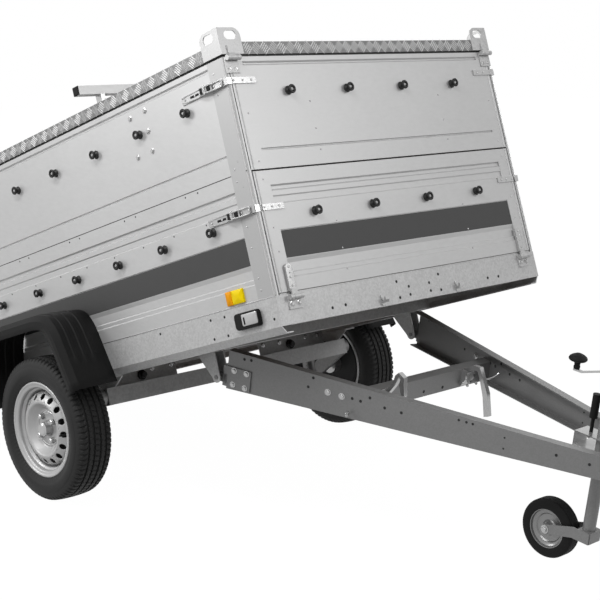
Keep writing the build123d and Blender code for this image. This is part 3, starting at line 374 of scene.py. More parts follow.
def rod(path, radius, sides=10):
    """A circle carried along a path and closed at both ends, turned as little as possible."""
    path = np.asarray(path, float)
    along = unit(np.gradient(path, axis=0))
    first = np.empty_like(path)
    first[0] = basis(along[0])[0]
    for i in range(1, len(path)):
        first[i] = unit(first[i - 1] - along[i] * (first[i - 1] @ along[i]))
    path, along, first = (np.concatenate([rows[:1], rows, rows[-1:]]) for rows in (path, along, first))
    second = np.cross(along, first)
    radius = np.broadcast_to(np.asarray(radius, float), (len(path) - 2,))
    radius = np.concatenate([[1e-3], radius, [1e-3]])
    angle = np.arange(sides) * 2 * math.pi / sides
    ring = first[:, None] * np.cos(angle)[None, :, None] + second[:, None] * np.sin(angle)[None, :, None]
    points = path[:, None] + ring * radius[:, None, None]
    return points.reshape(-1, 3), grid_faces(len(path), sides, close_columns=True)


def slab(low, high):
    """A rectangular block between two corners."""
    low, high = np.asarray(low, float), np.asarray(high, float)
    bits = np.array([[i, j, k] for i in (0, 1) for j in (0, 1) for k in (0, 1)])
    faces = np.array([[0, 1, 3, 2], [4, 6, 7, 5], [0, 4, 5, 1], [2, 3, 7, 6], [0, 2, 6, 4], [1, 5, 7, 3]])
    return low + bits * (high - low), faces


def both_sides(low, high):
    """A block on the left and its mirror image on the right."""
    return [slab((low[0], hand * low[1], low[2]), (high[0], hand * high[1], high[2])) for hand in (-1, 1)]


def rounded(long, high, corner, profile, origin, along, steps=6):
    """An upright rounded rectangle at each (height, inset) of the profile, closed at its middle."""
    along, up = np.array(along, float), np.array([0, 0, 1.0])
    normal = np.cross(along, up)
    quarter = np.linspace(0, math.pi / 2, steps)
    rings = []
    for height, inset in profile:
        radius = max(corner - inset, 0.5)
        half = np.array([long / 2, high / 2]) - inset - radius
        ring = []
        for k, sign in enumerate(((1, 1), (-1, 1), (-1, -1), (1, -1))):
            turn = quarter + k * math.pi / 2
            ring.append(half * sign + radius * np.stack([np.cos(turn), np.sin(turn)], 1))
        rings.append((np.concatenate(ring), height))
    rings.append((rings[-1][0] * 0, rings[-1][1] + 0.4))
    origin = np.asarray(origin, float)
    points = [origin + ring[:, :1] * along + ring[:, 1:] * up + normal * height for ring, height in rings]
    return np.concatenate(points), grid_faces(len(rings), 4 * steps, close_columns=True)


def repeated(faces, count, size):
    """The faces of one shape, and the same for each further copy of its points."""
    return (faces[None] + (np.arange(count) * size)[:, None, None]).reshape(-1, faces.shape[1])


def copies(shape, origins, turns):
    """One shape at many places, with a 3 by 3 turn for each, as one mesh."""
    points, faces = shape
    origins = np.asarray(origins, float).reshape(-1, 3)
    placed = np.einsum("nij,kj->nki", np.asarray(turns, float), points) + origins[:, None]
    return placed.reshape(-1, 3), repeated(faces, len(origins), len(points))


def facing(normal):
    """The turn that brings Z onto a normal."""
    return np.stack(basis(normal), 1)


def piece(name, shapes, body, finish, stands_for=(), smooth=True, bevel=0.0, thick=0.0, weld=True):
    """Joins shapes into one mesh, puts it in the row, gives its finish, and lets it ride on a body."""
    points, faces, start = [], [], 0
    for shape_points, shape_faces in shapes:
        points.append(shape_points)
        faces.append(shape_faces + start)
        start += len(shape_points)
    mesh = bpy.data.meshes.new(name)
    faces = np.concatenate(faces).tolist()
    mesh.from_pydata(to_row(np.concatenate(points), place_of[body]).tolist(), [], faces)
    if weld:
        edit = bmesh.new()
        edit.from_mesh(mesh)
        bmesh.ops.remove_doubles(edit, verts=edit.verts, dist=2e-5)
        bmesh.ops.recalc_face_normals(edit, faces=edit.faces)
        edit.to_mesh(mesh)
        edit.free()
    mesh.update()
    mesh.materials.append(finishes[finish])
    thing = add_object(name, mesh)
    if thick:
        wall = thing.modifiers.new("wall", "SOLIDIFY")
        wall.thickness, wall.offset = thick / MM, -1
    if bevel:
        edge = thing.modifiers.new("edge", "BEVEL")
        edge.width, edge.segments, edge.limit_method = bevel / MM, 2, "ANGLE"
        edge.angle_limit = math.radians(35)
    if smooth:
        mesh.shade_smooth()
        mesh.set_sharp_from_angle(angle=math.radians(32))
    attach(thing, body)
    if stands_for:
        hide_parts(*stands_for)
    print(f"{name}: {len(mesh.vertices)} points, {2 * len(faces)} triangles")


# %% [markdown]
# ## Tyres
# A tyre is a closed section swept round the wheel axis. The tread is cut by lowering the radius:
# four long grooves follow the tyre, and short sipes cross its shoulders and ribs. A height function
# of the place across and the angle around says how deep each point lies. The rows across are
# crowded at the grooves' edges so that their walls are steep.

# %% Tyre tread
wheels = (("right", -1), ("left", 1))
tyre_radius = 273.5
half_track = 1545 / 2
tyre_steps = 480
groove_mid = np.array([-38.0, -13.5, 13.5, 38.0])
groove_half = 3.6
groove_deep = 6.0
side_profile = np.array([
    (-56.5, 165.6), (-59.5, 168), (-61, 176), (-63, 183), (-68.5, 190), (-73.5, 198), (-76.5, 207),
    (-77.2, 208), (-78.3, 218), (-78.4, 226), (-77.2, 236), (-76.8, 237.2), (-76.6, 238.4), (-76.0, 239),
    (-74.6, 246), (-73.0, 252), (-71.5, 256.5), (-69.0, 261.5), (-66.5, 265), (-64.0, 267.8), (-61.5, 269.6),
])


def tyre_shape(hand):
    """Radius over (row across, angle): the crown's arc, less the grooves, sipes and shoulder slots."""
    edges = [groove_mid + side * (groove_half + slope_in) for side in (-1, 1) for slope_in in (0, 0.8)]
    tread_y = np.sort(np.concatenate([np.linspace(-59.5, 59.5, 27), *edges]))
    tread_r = tyre_radius - 3.4 * (np.abs(tread_y) / 60) ** 2.6
    y = np.concatenate([side_profile[:, 0], tread_y, -side_profile[::-1, 0]])
    r = np.concatenate([side_profile[:, 1], tread_r, side_profile[::-1, 1]])
    angle = np.arange(tyre_steps) * 2 * math.pi / tyre_steps
    yy, step = np.meshgrid(y, np.arange(tyre_steps), indexing="ij")
    away = np.abs(yy)
    grooves = np.abs(yy[..., None] - groove_mid).min(-1) <= groove_half + 0.01
    slanted = (step + np.round(yy * 0.09).astype(int)) % 6 == 0
    ribs = (away < 34) & ~grooves & slanted & (np.abs(away - 25) > 3)
    shoulder = (away > 45) & (away < 73) & ((step + np.round(away * 0.05).astype(int)) % 6 < 2)
    serration = (away > 73.5) & (r[:, None] > 238) & (step % 2 == 0)
    depth = np.where(grooves, groove_deep, 0.0)
    depth = np.where(ribs, 4.0, depth)
    depth = np.where(shoulder & ~grooves, 5.0 * np.clip((74 - away) / 10, 0, 1), depth)
    depth = np.where(serration, 0.7, depth)
    radius = r[:, None] - depth
    y_in = yy - np.sign(yy) * np.where(away > 60, depth * 0.25, 0)
    points = np.stack([radius * np.cos(angle), y_in + hand * half_track, radius * np.sin(angle)], -1)
    return points.reshape(-1, 3), grid_faces(len(y), tyre_steps, close_rows=True, close_columns=True)


for side_name, hand in wheels:
    piece(f"road_tyre_{side_name}", [tyre_shape(hand)], f"wheel_{side_name}", "tyre",
          stands_for=(f"tyre_{side_name}",), weld=False)

# %% [markdown]
# ## Pressed rims
# The rim is two pressings. The barrel is a smooth profile swept round the axis. The disc carries
# sixteen round vents, so each sixteenth of it is a grid that runs from the vent's edge, where s is
# 0, to the sector's border, where s is 1. Its height over the wheel's middle follows the radius.

# %% Barrel and disc
disc_line = smooth_line([
    (26, 30), (44, 30), (62, 30), (67, 31), (74, 30), (92, 50), (98, 58), (104, 60.5), (111, 59), (122, 53),
    (134, 44), (139, 38), (141.5, 26), (142.5, 8),
], 2)


def disc_height(radius):
    """Distance of the disc outwards from the wheel's middle, at a radius."""
    return np.interp(radius, disc_line[:, 0], disc_line[:, 1])


def vented_ring(hand, inner, outer, vent_ring, vent_radius, count):
    """Sectors round the wheel, each a grid from the vent's circle (s = 0) to its border (s = 1)."""
    around, rings = 32, 7
    t = (np.arange(around) + 0.5) * 2 * math.pi / around
    half = math.pi / count
    hole = np.stack([vent_ring + vent_radius * np.cos(t), vent_radius * np.sin(t) / vent_ring], -1)
    reach = np.stack([np.where(np.cos(t) > 0, outer - vent_ring, vent_ring - inner) / np.abs(np.cos(t)),
                      half * vent_ring / np.abs(np.sin(t))]).min(0)
    border = np.stack([vent_ring + reach * np.cos(t), reach * np.sin(t) / vent_ring], -1)
    s = np.linspace(0, 1, rings)[:, None, None]
    polar = hole * (1 - s) + border * s
    sector = np.arange(count) * 2 * half
    radius = np.broadcast_to(polar[..., 0], (count, rings, around))
    angle = polar[None, ..., 1] + sector[:, None, None]
    height = hand * (half_track + disc_height(radius))
    points = np.stack([radius * np.cos(angle), height, radius * np.sin(angle)], -1)
    faces = grid_faces(rings, around, close_columns=True)
    return points.reshape(-1, 3), repeated(faces, count, rings * around)


barrel = smooth_line([
    (62, 180.5), (63.5, 179.5), (63, 177), (60, 172), (58.5, 165), (56, 162.5), (46, 162), (42, 160),
    (38, 153), (34, 151), (26, 151), (20, 148), (14, 145), (0, 145), (-14, 145), (-22, 152), (-30, 160),
    (-50, 161), (-57, 165), (-60, 172), (-62, 180.5),
], 2)
hub_ring = [(29, 63), (31.5, 63), (32.5, 65.5), (31.5, 68), (29, 68)]
drum = [(-34, 30), (-34, 128), (-30, 134), (4, 134), (12, 128), (14, 100), (14, 64), (14, 30)]
inside_vents = disc_line[disc_line[:, 0] < 112]
outside_vents = disc_line[disc_line[:, 0] > 139.5]
vent_ring, vent_radius, vent_count = 125.5, 12, 16
for side_name, hand in wheels:
    body = f"wheel_{side_name}"
    spin = ((0, hand * half_track, 0), (0, hand, 0))
    disc = [
        turned(inside_vents[:, ::-1], 96, *spin), turned(outside_vents[:, ::-1], 96, *spin),
        vented_ring(hand, inside_vents[-1, 0], outside_vents[0, 0], vent_ring, vent_radius, vent_count),
    ]
    piece(f"rim_barrel_{side_name}", [turned(barrel, 96, *spin)], body, "rim_silver", thick=-3.5)
    piece(f"rim_disc_{side_name}", disc, body, "rim_silver", stands_for=(f"rim_{side_name}",), thick=4)
    piece(f"hub_ring_{side_name}", [turned(hub_ring, 64, *spin)], body, "zinc")
    # The drum is near-black as painted shade, the dark seen through the vents.
    piece(f"brake_drum_{side_name}", [turned(drum, 64, *spin)], body, "painted_shade_and_joint_dark")

# %% [markdown]
# ## Mudguards
# Each mudguard is one moulding. Its section across has a flat crown with long ribs, a slanted
# outer edge and a hanging lip; this section is carried along the arch over the wheel. Along the
# arch the facets are joined by small curves.

# %% Mudguards
guard_inner = 676.8
arch = np.array([(325, 115), (303.4, 190), (291.8, 230), (252, 368), (182, 418), (0, 418),
                 (-182, 418), (-252, 368), (-291.8, 230), (-303.4, 190), (-325, 115)])
guard_section = np.array([
    (0, 0), (42, 0), (46, 3), (60, 3), (64, 0), (81, 0), (85, 3), (99, 3), (103, 0), (120, 0), (124, 3),
    (138, 3), (142, 0), (165.2, 0), (176, -10), (185.2, -20), (185.2, -34), (185.2, -52),
])


def guard_shape(hand):
    """The arch's points moved along its own normal by the section's height, for each place across."""
    fine = smooth_line(arch, 3)
    along = unit(np.gradient(fine, axis=0))
    outward = np.stack([along[:, 1], -along[:, 0]], 1)
    ribs = np.clip((fine[:, 1] - 190) / 40, 0, 1)
    section = guard_section[None, :, 1]
    height = np.where(section > 0, section * ribs[:, None], section)
    x = fine[:, None, 0] + outward[:, None, 0] * height
    z = fine[:, None, 1] + outward[:, None, 1] * height
    y = np.broadcast_to(hand * (guard_inner + guard_section[:, 0]), x.shape)
    return np.stack([x, y, z], -1).reshape(-1, 3), grid_faces(len(fine), len(guard_section))


guards = [guard_shape(-1), guard_shape(1)]
piece("wheel_guards", guards, "bed", "black_plastic", stands_for=("mudguards",), thick=3.5)

# %% [markdown]
# ## Rubber hooks
# The cover's cord is hooked over rubber knobs along every wall. Each is a spool: a foot, a waist
# and a wide head with a screw in a recess. One turned profile is copied to every place.

# %% Hooks and their screws
half_width = 676.5
front_x, rear_x = 1270.7, -1407.3
hook_profile = [
    (0, 0), (0, 15), (2, 15.6), (4, 14.5), (6, 11), (9, 9), (13, 9), (15, 11.5), (16.5, 15), (19, 16),
    (22, 15.6), (23.5, 14), (23.6, 10), (22, 8.4), (19, 7.5), (18.5, 0),
]
screw_profile = [(17, 0), (17, 5.5), (20, 5.6), (21.4, 4.4), (21.8, 0)]
side_x = 1038.6 - 273.3 * np.arange(9)
end_y = (-420.9, -140.3, 140.3, 420.9)
low_hooks = [(y, 518) for y in end_y]
high_hooks = [(y, 931) for y in end_y]


def upright(axis, place, pairs):
    """Points on an upright plane that stands across x (axis 0) or y (axis 1), from pairs in it."""
    return np.insert(np.asarray(pairs, float), axis, place, axis=1)


def on_side(pairs, lift=0.0):
    """Places (x, z) on both side faces of the bed."""
    return [(upright(1, hand * (half_width + lift), pairs), (0, hand, 0)) for hand in (-1, 1)]


def on_end(out, pairs, lift=0.0):
    """Places (y, z) on the bed's front face, where out is 1, or on its rear face, where it is -1."""
    return [(upright(0, (front_x if out > 0 else rear_x) + out * lift, pairs), (out, 0, 0))]


def studded(shape, groups):
    """A shape set out on several planes: groups are (points, normal)."""
    return [copies(shape, points, np.repeat(facing(normal)[None], len(points), 0)) for points, normal in groups]


hook_groups = {
    "bed": on_side([(x, z) for z in (928, 518) for x in side_x])
    + on_end(1, high_hooks) + on_end(-1, high_hooks),
    "front_gate": on_end(1, low_hooks),
    "rear_gate": on_end(-1, low_hooks),
}
hook = turned(hook_profile, 20)
screw = turned(screw_profile, 8)
for body, groups in hook_groups.items():
    piece(f"rubber_hooks_{body}", studded(hook, groups), body, "rubber",
          stands_for=(f"cover_hooks_{body}",))
    # The screws are darkened as painted shade in the recess of each hook's head.
    piece(f"hook_screws_{body}", studded(screw, groups), body, "underside_zinc")

# %% [markdown]
# ## Dark strips and the lid's seal
# A dark grey strip runs along each side and end, on the broad rib of the lower wall. It is thin
# film, so it is a plate 0.6 mm thick. A black rubber seal fills the slit under the lid.

# %% Strips and seal
strip_low, strip_high, film = 376, 467, 0.6
strip_in, strip_half = 1.9, 592
side_strips = both_sides((rear_x + 86, half_width - strip_in, strip_low),
                         (front_x - 86, half_width - strip_in + film, strip_high))
front_strip, rear_strip = (
    slab((x - out * strip_in, -strip_half, strip_low), (x - out * (strip_in - film), strip_half, strip_high))
    for x, out in ((front_x, 1), (rear_x, -1))
)
for body, shapes in (("bed", side_strips), ("front_gate", [front_strip]), ("rear_gate", [rear_strip])):
    piece(f"dark_strip_{body}", shapes, body, "dark_strip", smooth=False)

seal_low, seal_high, seal_in, seal_wide = 1050.2, 1056.4, 3, 10
seal_x = (rear_x + seal_in, front_x - seal_in)
seal_y = half_width - seal_in
seal = both_sides((seal_x[0], seal_y, seal_low), (seal_x[1], seal_y - seal_wide, seal_high))
seal += [
    slab((x, -seal_y + seal_wide, seal_low), (x + inward * seal_wide, seal_y - seal_wide, seal_high))
    for x, inward in zip(seal_x, (1, -1))
]
piece("lid_seal", seal, "bed", "rubber", bevel=1.5)

# %% [markdown]
# ## Tread plate
# The lid is folded from five-bar tread plate: groups of five raised bars, turned a quarter from
# one group to the next like a chessboard. Each bar is a low roof-shaped lens. Bars and plate are one
# aluminium: the bars are lightened as a painted highlight and the plate between them is darkened as
# painted shade. The pattern runs over the top and down the four skirts.

# %% Five-bar pattern
lid_low, lid_top = 1057, 1099
lid_over = 3
bar_pitch = 7.6
group = 38.0
bar_long, bar_wide, bar_high = 37.0, 5.0, 1.8


def tread_bar():
    """A lens: six points round its foot and two on its ridge."""
    u = np.array([-0.5, -0.3, 0.3, 0.5, 0.3, -0.3]) * bar_long
    v = np.array([0, 0.5, 0.5, 0, -0.5, -0.5]) * bar_wide
    foot = np.stack([u, v, np.zeros(6)], 1)
    ridge = np.array([[-0.28 * bar_long, 0, bar_high], [0.28 * bar_long, 0, bar_high]])
    faces = np.array([[0, 1, 6, 6], [1, 2, 7, 6], [2, 3, 7, 7], [3, 4, 7, 7], [4, 5, 6, 7], [5, 0, 6, 6]])
    return np.concatenate([foot, ridge]), faces[:, ::-1]


def tread_places(long, wide, trim):
    """Middles and turns of the bars on a plate of that size: groups alternate, five bars in each."""
    columns, rows = int(long // group), max(1, int(round(wide / group)))
    i, j, k = np.meshgrid(np.arange(columns), np.arange(rows), np.arange(5), indexing="ij")
    u = (i + 0.5) * (long / columns) - long / 2
    v = (j + 0.5) * (wide / rows) - wide / 2 if rows > 1 else np.zeros(i.shape)
    way = np.where((i + j) % 2 == 0, 1.0, -1.0)
    shift = (k - 2) * bar_pitch
    turn = way * math.radians(45)
    u = u - np.sin(turn) * shift
    v = v + np.cos(turn) * shift
    inside = (np.abs(u) < long / 2 - trim) & (np.abs(v) < wide / 2 - trim)
    return u[inside], v[inside], turn[inside]


def tread_sheet(centre, along, across, long, wide, trim):
    """The bars on one plane: its two directions and their cross product make each bar's turn."""
    along, across = np.asarray(along, float), np.asarray(across, float)
    normal = np.cross(along, across)
    u, v, turn = tread_places(long, wide, trim)
    origins = np.asarray(centre, float) + u[:, None] * along + v[:, None] * across
    first = np.cos(turn)[:, None] * along + np.sin(turn)[:, None] * across
    second = -np.sin(turn)[:, None] * along + np.cos(turn)[:, None] * across
    turns = np.stack([first, second, np.broadcast_to(normal, first.shape)], -1)
    return copies(tread_bar(), origins, turns)


lid_mid = (front_x + rear_x) / 2
lid_long = front_x - rear_x + 2 * lid_over
lid_wide = 2 * (half_width + lid_over)
skirt_mid = (lid_low + lid_top) / 2
skirt = lid_top - lid_low
lug_long = 2 * 96
level, rise = (1, 0, 0), (0, 0, 1)
tread = [
    tread_sheet((lid_mid, 0, lid_top), level, (0, 1, 0), lid_long, lid_wide, 12),
    tread_sheet((lid_mid, -lid_wide / 2, skirt_mid), level, rise, lid_long - lug_long, skirt, 6),
    tread_sheet((lid_mid, lid_wide / 2, skirt_mid), (-1, 0, 0), rise, lid_long - lug_long, skirt, 6),
    tread_sheet((lid_mid + lid_long / 2, 0, skirt_mid), (0, 1, 0), rise, lid_wide - lug_long, skirt, 6),
    tread_sheet((lid_mid - lid_long / 2, 0, skirt_mid), (0, -1, 0), rise, lid_wide - lug_long, skirt, 6),
]
piece("tread_bars", tread, "lid", "tread_bar", smooth=False, weld=False)

# %% [markdown]
# ## Bolts, rivets and holes
# Three small turned shapes do for the whole trailer: a domed rivet, a hexagon bolt on its washer,
# and a hole, which is a near-black disc with a fine burr; its black is painted shade for the inside
# of the hole. Each wall has its list of places, read off the photograph, and the other side of the
# trailer gets the same list in mirror image.

# %% Fixings
def rivet(radius):
    steps = ((0, 1), (0.35, 0.92), (0.6, 0.55), (0.7, 0))
    return turned([(height * radius, reach * radius) for height, reach in steps], 10)


def bolt(radius):
    """A washer, and a hexagon head whose corners are chamfered."""
    washer = turned([(0, radius * 1.5), (1.3, radius * 1.5), (1.5, radius * 1.4), (1.5, radius * 0.6)], 18)
    top = radius * 0.85
    head = turned([(1.4, radius), (radius * 0.75, radius), (top, radius * 0.86), (top, 0)], 24, sides=6)
    return washer, head


# A hole is a near-black disc: painted shade for its dark inside.
def hole(radius):
    return turned([(0, radius), (0.5, radius - 0.3), (0.3, radius - 0.9), (0.3, 0)], 16)


def mirrored(pairs):
    """Places (y, z) and their mirror images across y."""
    return [*pairs, *((-y, z) for y, z in pairs)]


def on_ends(pairs, lift=0.0):
    """Mirrored places on both end faces of the bed."""
    return on_end(1, mirrored(pairs), lift) + on_end(-1, mirrored(pairs), lift)


bar_rear, bar_front = np.array([27.0, 512.0]), np.array([1700.0, 27.0])
bar_way = unit(bar_front - bar_rear)
bar_wall = 4
crossbar_face = 504.5


def on_beam(pairs, lift=0.0, inside=True):
    """Places (distance from the beam's rear end, z) on both beams' webs, outside and inside."""
    along, z = np.asarray(pairs, float).T
    groups = []
    for hand in (-1, 1):
        normal = np.array([-bar_way[1], hand * bar_way[0], 0])
        line = np.stack([bar_rear[0] + along * bar_way[0], hand * (bar_rear[1] + along * bar_way[1]), z], 1)
        groups.append((line + normal * lift, normal))
        if inside:
            groups.append((line - normal * bar_wall, -normal))
    return groups


def on_crossbar(pairs):
    """Places (y, z) on the crossbar's front face."""
    return [(upright(0, crossbar_face, pairs), (1, 0, 0))]


def fixings(body, rivets=(), bolts=(), holes=()):
    """One piece of rivets and bolts and one of holes; each entry is (radius, groups of places)."""
    bright = [mesh for radius, groups in rivets for mesh in studded(rivet(radius), groups)]
    bright += [mesh for radius, groups in bolts for half in bolt(radius) for mesh in studded(half, groups)]
    piece(f"fixings_{body}", bright, body, "zinc")
    # The holes' near-black is painted shade.
    dark = [mesh for radius, groups in holes for mesh in studded(hole(radius), groups)]
    if dark:
        piece(f"holes_{body}", dark, body, "painted_shade_and_joint_dark")


latch_heights = (970, 548)
seam_x = np.array([968 + step * 362 + half for step in range(1, -6, -1) for half in (-34, 34)])
seam_x = seam_x[np.abs(seam_x - lid_mid) < 1230]
lip_x = np.arange(1010, -1300, -181.0)
corner_z = (1010, 940, 690, 650, 500, 430, 330, 290)
profile_x = np.array([front_x - 62, rear_x + 62])
strap_x = (1046, 1100, rear_x + 225, rear_x + 171)
loop_plate_x = (1207, 1243, rear_x + 64, rear_x + 28)
fixings(
    "bed",
    rivets=[
        (3.6, on_side([(x, z) for x in profile_x for z in corner_z])),
        (3.2, on_ends([(620, 1000), (620, 860), (620, 700)])),
        (3.4, on_ends([(331, 891), (331, 797), (331, 723)])),
        (4.2, on_ends([(658, 970), (618, 970), (580, 970)], 5)),
        (4.2, on_side([(x, z) for z in latch_heights for x in strap_x], 4)),
        (4.4, on_side([(x, z) for z in latch_heights for x in loop_plate_x], 8)),
    ],
    bolts=[
        (7.0, on_side([(818, 999), (730, 995), (815, 928), (814, 857), (728, 856)])),
        (6.5, on_ends([(585, 226), (617, 226), (601, 243)], 5)),
        (5.0, on_ends([(634, 1008), (660, 1008)], 5)),
    ],
    holes=[
        (5.0, on_side([(925, 239), (1000, 238), (924, 174), (999, 174), (637, 240), (1241, 189),
                       (-637, 240), (-760, 174), (-1100, 239), (-1175, 238), (-1380, 189)])),
        (5.4, on_ends([(439.5, 189), (377, 190.5), (110.5, 237), (54, 213), (109.5, 180), (54, 184)])),
        (3.0, on_side([(x, z) for x in profile_x + (24, -24) for z in (712, 628)])),
        (3.2, on_side([(x, 663) for x in seam_x])),
        (3.0, on_side([(x, 550) for x in lip_x])),
    ],
)
for body, out in (("front_gate", 1), ("rear_gate", -1)):
    fixings(
        body,
        rivets=[
            (3.2, on_end(out, mirrored([(620, 640), (620, 480), (620, 400)]))),
            (3.4, on_end(out, mirrored([(331, 310), (331, 477)]))),
            (3.4, on_end(out, mirrored([(331, 382)]), -1.4)),
            (4.2, on_end(out, mirrored([(603, 283), (603, 311), (603, 328), (603, 346)]), 9.5)),
            (4.2, on_end(out, mirrored([(645, 548), (612, 548), (580, 548)]), 5)),
        ],
    )
fixings(
    "drawbar",
    bolts=[
        (7.5, on_beam([(30, 38), (81, 39), (29, -14), (79, -15)], 5, inside=False)),
        (8.0, on_beam([(404, 57), (458, 57)])),
        (7.0, on_crossbar([(389.5, 8), (-389.5, 8)])),
    ],
    holes=[
        (5.4, on_beam([(65, 88), (93, 91), (343, 93), (327, 56), (498, 60), (530, 59), (563, 80), (621, 60),
                       (683, 60)])),
        (4.6, on_beam([(887, 92), (914, 92), (936.5, 92)])),
        (3.4, on_beam([(1050, 40), (1049, 77)])),
        (5.2, on_beam([(1225, 69), (1334, 70)])),
        (6.0, on_crossbar([(104, 13), (1, 15), (-104, 13)])),
    ],
)

# %% [markdown]
# ## Corners, seams and latches
# The corner profiles are folded. Thin bright zinc rods down each corner and along the rail tops
# are painted highlights of the edges; beside each corner stand a bead and a dark joint. The two
# tiers of a side wall meet in a fine dark seam. Each corner latch has a lever, a wire loop that
# reaches round the corner, and a folded strike that the loop pulls on.

# %% Corner beads, seams and loops
def bead(x, y, low, high, radius=2.4):
    return rod([(x, y, low), (x, y, (low + high) / 2), (x, y, high)], radius, 8)


ends_face = ((front_x, 1), (rear_x, -1))
corners = [(x, out, hand) for x, out in ends_face for hand in (-1, 1)]
wall_top, tier_seam, rail_top = 1050, 676, 260.6
beads = [bead(x, hand * 649, tier_seam, wall_top) for x, _, hand in corners]
piece("corner_beads", beads, "bed", "anodised")
# Painted highlights: thin bright zinc rods down each corner and along each rail top.
edges = [bead(x - out * 2.2, hand * (half_width - 2.2), 262, wall_top, 2.5) for x, out, hand in corners]
for hand in (-1, 1):
    y = hand * (half_width + 0.4)
    edges.append(rod([(rear_x + 6, y, rail_top), (0, y, rail_top), (front_x - 6, y, rail_top)], 1.5, 8))
piece("corner_painted_highlights", edges, "bed", "zinc")
profiles = []
for x, out in ends_face:
    profiles += both_sides((x - out * 85, half_width + 0.4, 261), (x - out * 10, half_width - 1, wall_top))
piece("corner_profiles", profiles, "bed", "corner_sheet", smooth=False)
for body, (x, out) in zip(("front_gate", "rear_gate"), ends_face):
    plate_line = [(7.6, 0), (9, 0), (9.6, 0.8)]
    straps = [rounded(30, 100, 12, plate_line, (x, hand * 602, 307), (0, out, 0)) for hand in (-1, 1)]
    piece(f"{body}_strap_plates", straps, body, "zinc")
    piece(f"{body}_beads", [bead(x, hand * 648, 269, 666) for hand in (-1, 1)], body, "anodised")

dark_lines = both_sides((rear_x + 3, half_width + 0.3, 672.6), (front_x - 3, half_width - 1, 675.2))
for x, out in ends_face:
    dark_lines += both_sides((x + out * 0.3, 663.8, tier_seam), (x - out, 660.6, wall_top - 1))
piece("seam_lines", dark_lines, "bed", "painted_shade_and_joint_dark", smooth=False)

# Places along a latch: distance back from the corner, height, and distance out from the wall.
loop_line = (
    (108, 0, 20), (108, 9, 20), (98, 11, 20), (60, 11, 13), (26, 11, 11), (20, 9, 11), (20, 0, 11),
    (20, -9, 11), (26, -11, 11), (60, -11, 13), (98, -11, 20), (108, -9, 20), (108, 0, 20),
)
lever_edge = ((240, 0.6, 5), (210, 0.9, 5), (150, 1, 5), (140, 1, 8), (124, 1, 17))


def latch(x, out, hand, z):
    """The bright and the black shapes of one corner latch."""

    def spot(back, rise, reach):
        return x - out * back, hand * (half_width + reach), z + rise

    def block(low, high):
        return slab(spot(*low), spot(*high))

    bright = [rod(smooth_line([spot(*place) for place in loop_line], 2), 2.3, 8)]
    bright.append(rod([spot(104, rise, 18) for rise in (-15, 0, 15)], 4.5))
    for half in (-12, 12):
        bright.append(rod([spot(back, half * wide, reach) for back, wide, reach in lever_edge], 1.6, 6))
    bright += [block((17, -12, 2), (-4, 12, 7)), block((0, -12, 7), (-4, 12, -13.5))]
    black = [block((124, -10, 16), (110, 10, 21)), block((92, -8, 15), (76, 8, 18.6)),
             block((196, -4, 3.5), (150, 4, 4.6))]
    return bright, black


latches = [latch(*corner, z) for corner in corners for z in latch_heights]
loops, buckles = (sum(parts, []) for parts in zip(*latches))
piece("latch_loops", loops, "bed", "zinc", bevel=0.4)
piece("latch_buckles", buckles, "bed", "black_plastic", bevel=0.6)

# %% [markdown]
# ## Lamps
# A lamp is a rounded rectangle whose outline shrinks with height. The side marker has a black
# housing with a clear window; the reflector above it is orange and yellow.

# %% Lamps and reflectors
reflector_line = [(0, 0), (7, 0.4), (8, 2)]
housing_line = [(0, 0), (11, 0), (15, 1.5), (17.5, 5)]
window_line = [(15, 0), (18.5, 0.6), (20, 4)]
housings, windows, yellows, ambers = [], [], [], []
for hand in (-1, 1):
    face, y = (-hand, 0, 0), hand * half_width
    housings.append(rounded(122, 56, 13, housing_line, (1123, y, 208), face))
    housings.append(rounded(9, 26, 4, [(19, 0), (20.4, 0.5)], (1117, y, 207), face))
    windows.append(rounded(78, 40, 6, window_line, (1142, y, 210), face))
    yellows.append(rounded(57, 48, 3, reflector_line, (1094.5, y, 291), face))
    ambers.append(rounded(31, 48, 3, reflector_line, (1050.5, y, 291), face))
piece("lamp_housings", housings, "bed", "black_plastic", stands_for=("side_lamps",))
piece("marker_windows", windows, "bed", "clear_lens")
piece("reflectors_yellow", yellows, "bed", "yellow_lens")
piece("reflectors_amber", ambers, "bed", "amber_lens")

tail_y, tail_z = 480, 178


def tail_shapes(long, high, corner, profile, middle=0):
    """The same rounded shape on both rear corners, so far from the middle of the lamp."""
    spots = [(rear_x, hand * (tail_y + middle), tail_z) for hand in (-1, 1)]
    return [rounded(long, high, corner, profile, spot, (0, -1, 0)) for spot in spots]


bases = tail_shapes(200, 46, 6, [(0, 0), (6, 0)])
piece("rear_lamp_bases", bases, "bed", "black_plastic", stands_for=("rear_lamps",))
for colour, middle, long in (("red", 52, 88), ("amber", -18, 48), ("clear", -70, 52)):
    lenses = tail_shapes(long, 40, 4, [(5, 0), (12, 0.6), (15, 4)], middle)
    piece(f"rear_lamps_{colour}", lenses, "bed", f"{colour}_lens")

# %% [markdown]
# ## Wheel bolts, valves and tip-latch handles
# Four bolts hold each wheel. Their heads are long hexagons on a round collar. The tip latches get
# the rivets of their levers and one wire handle.

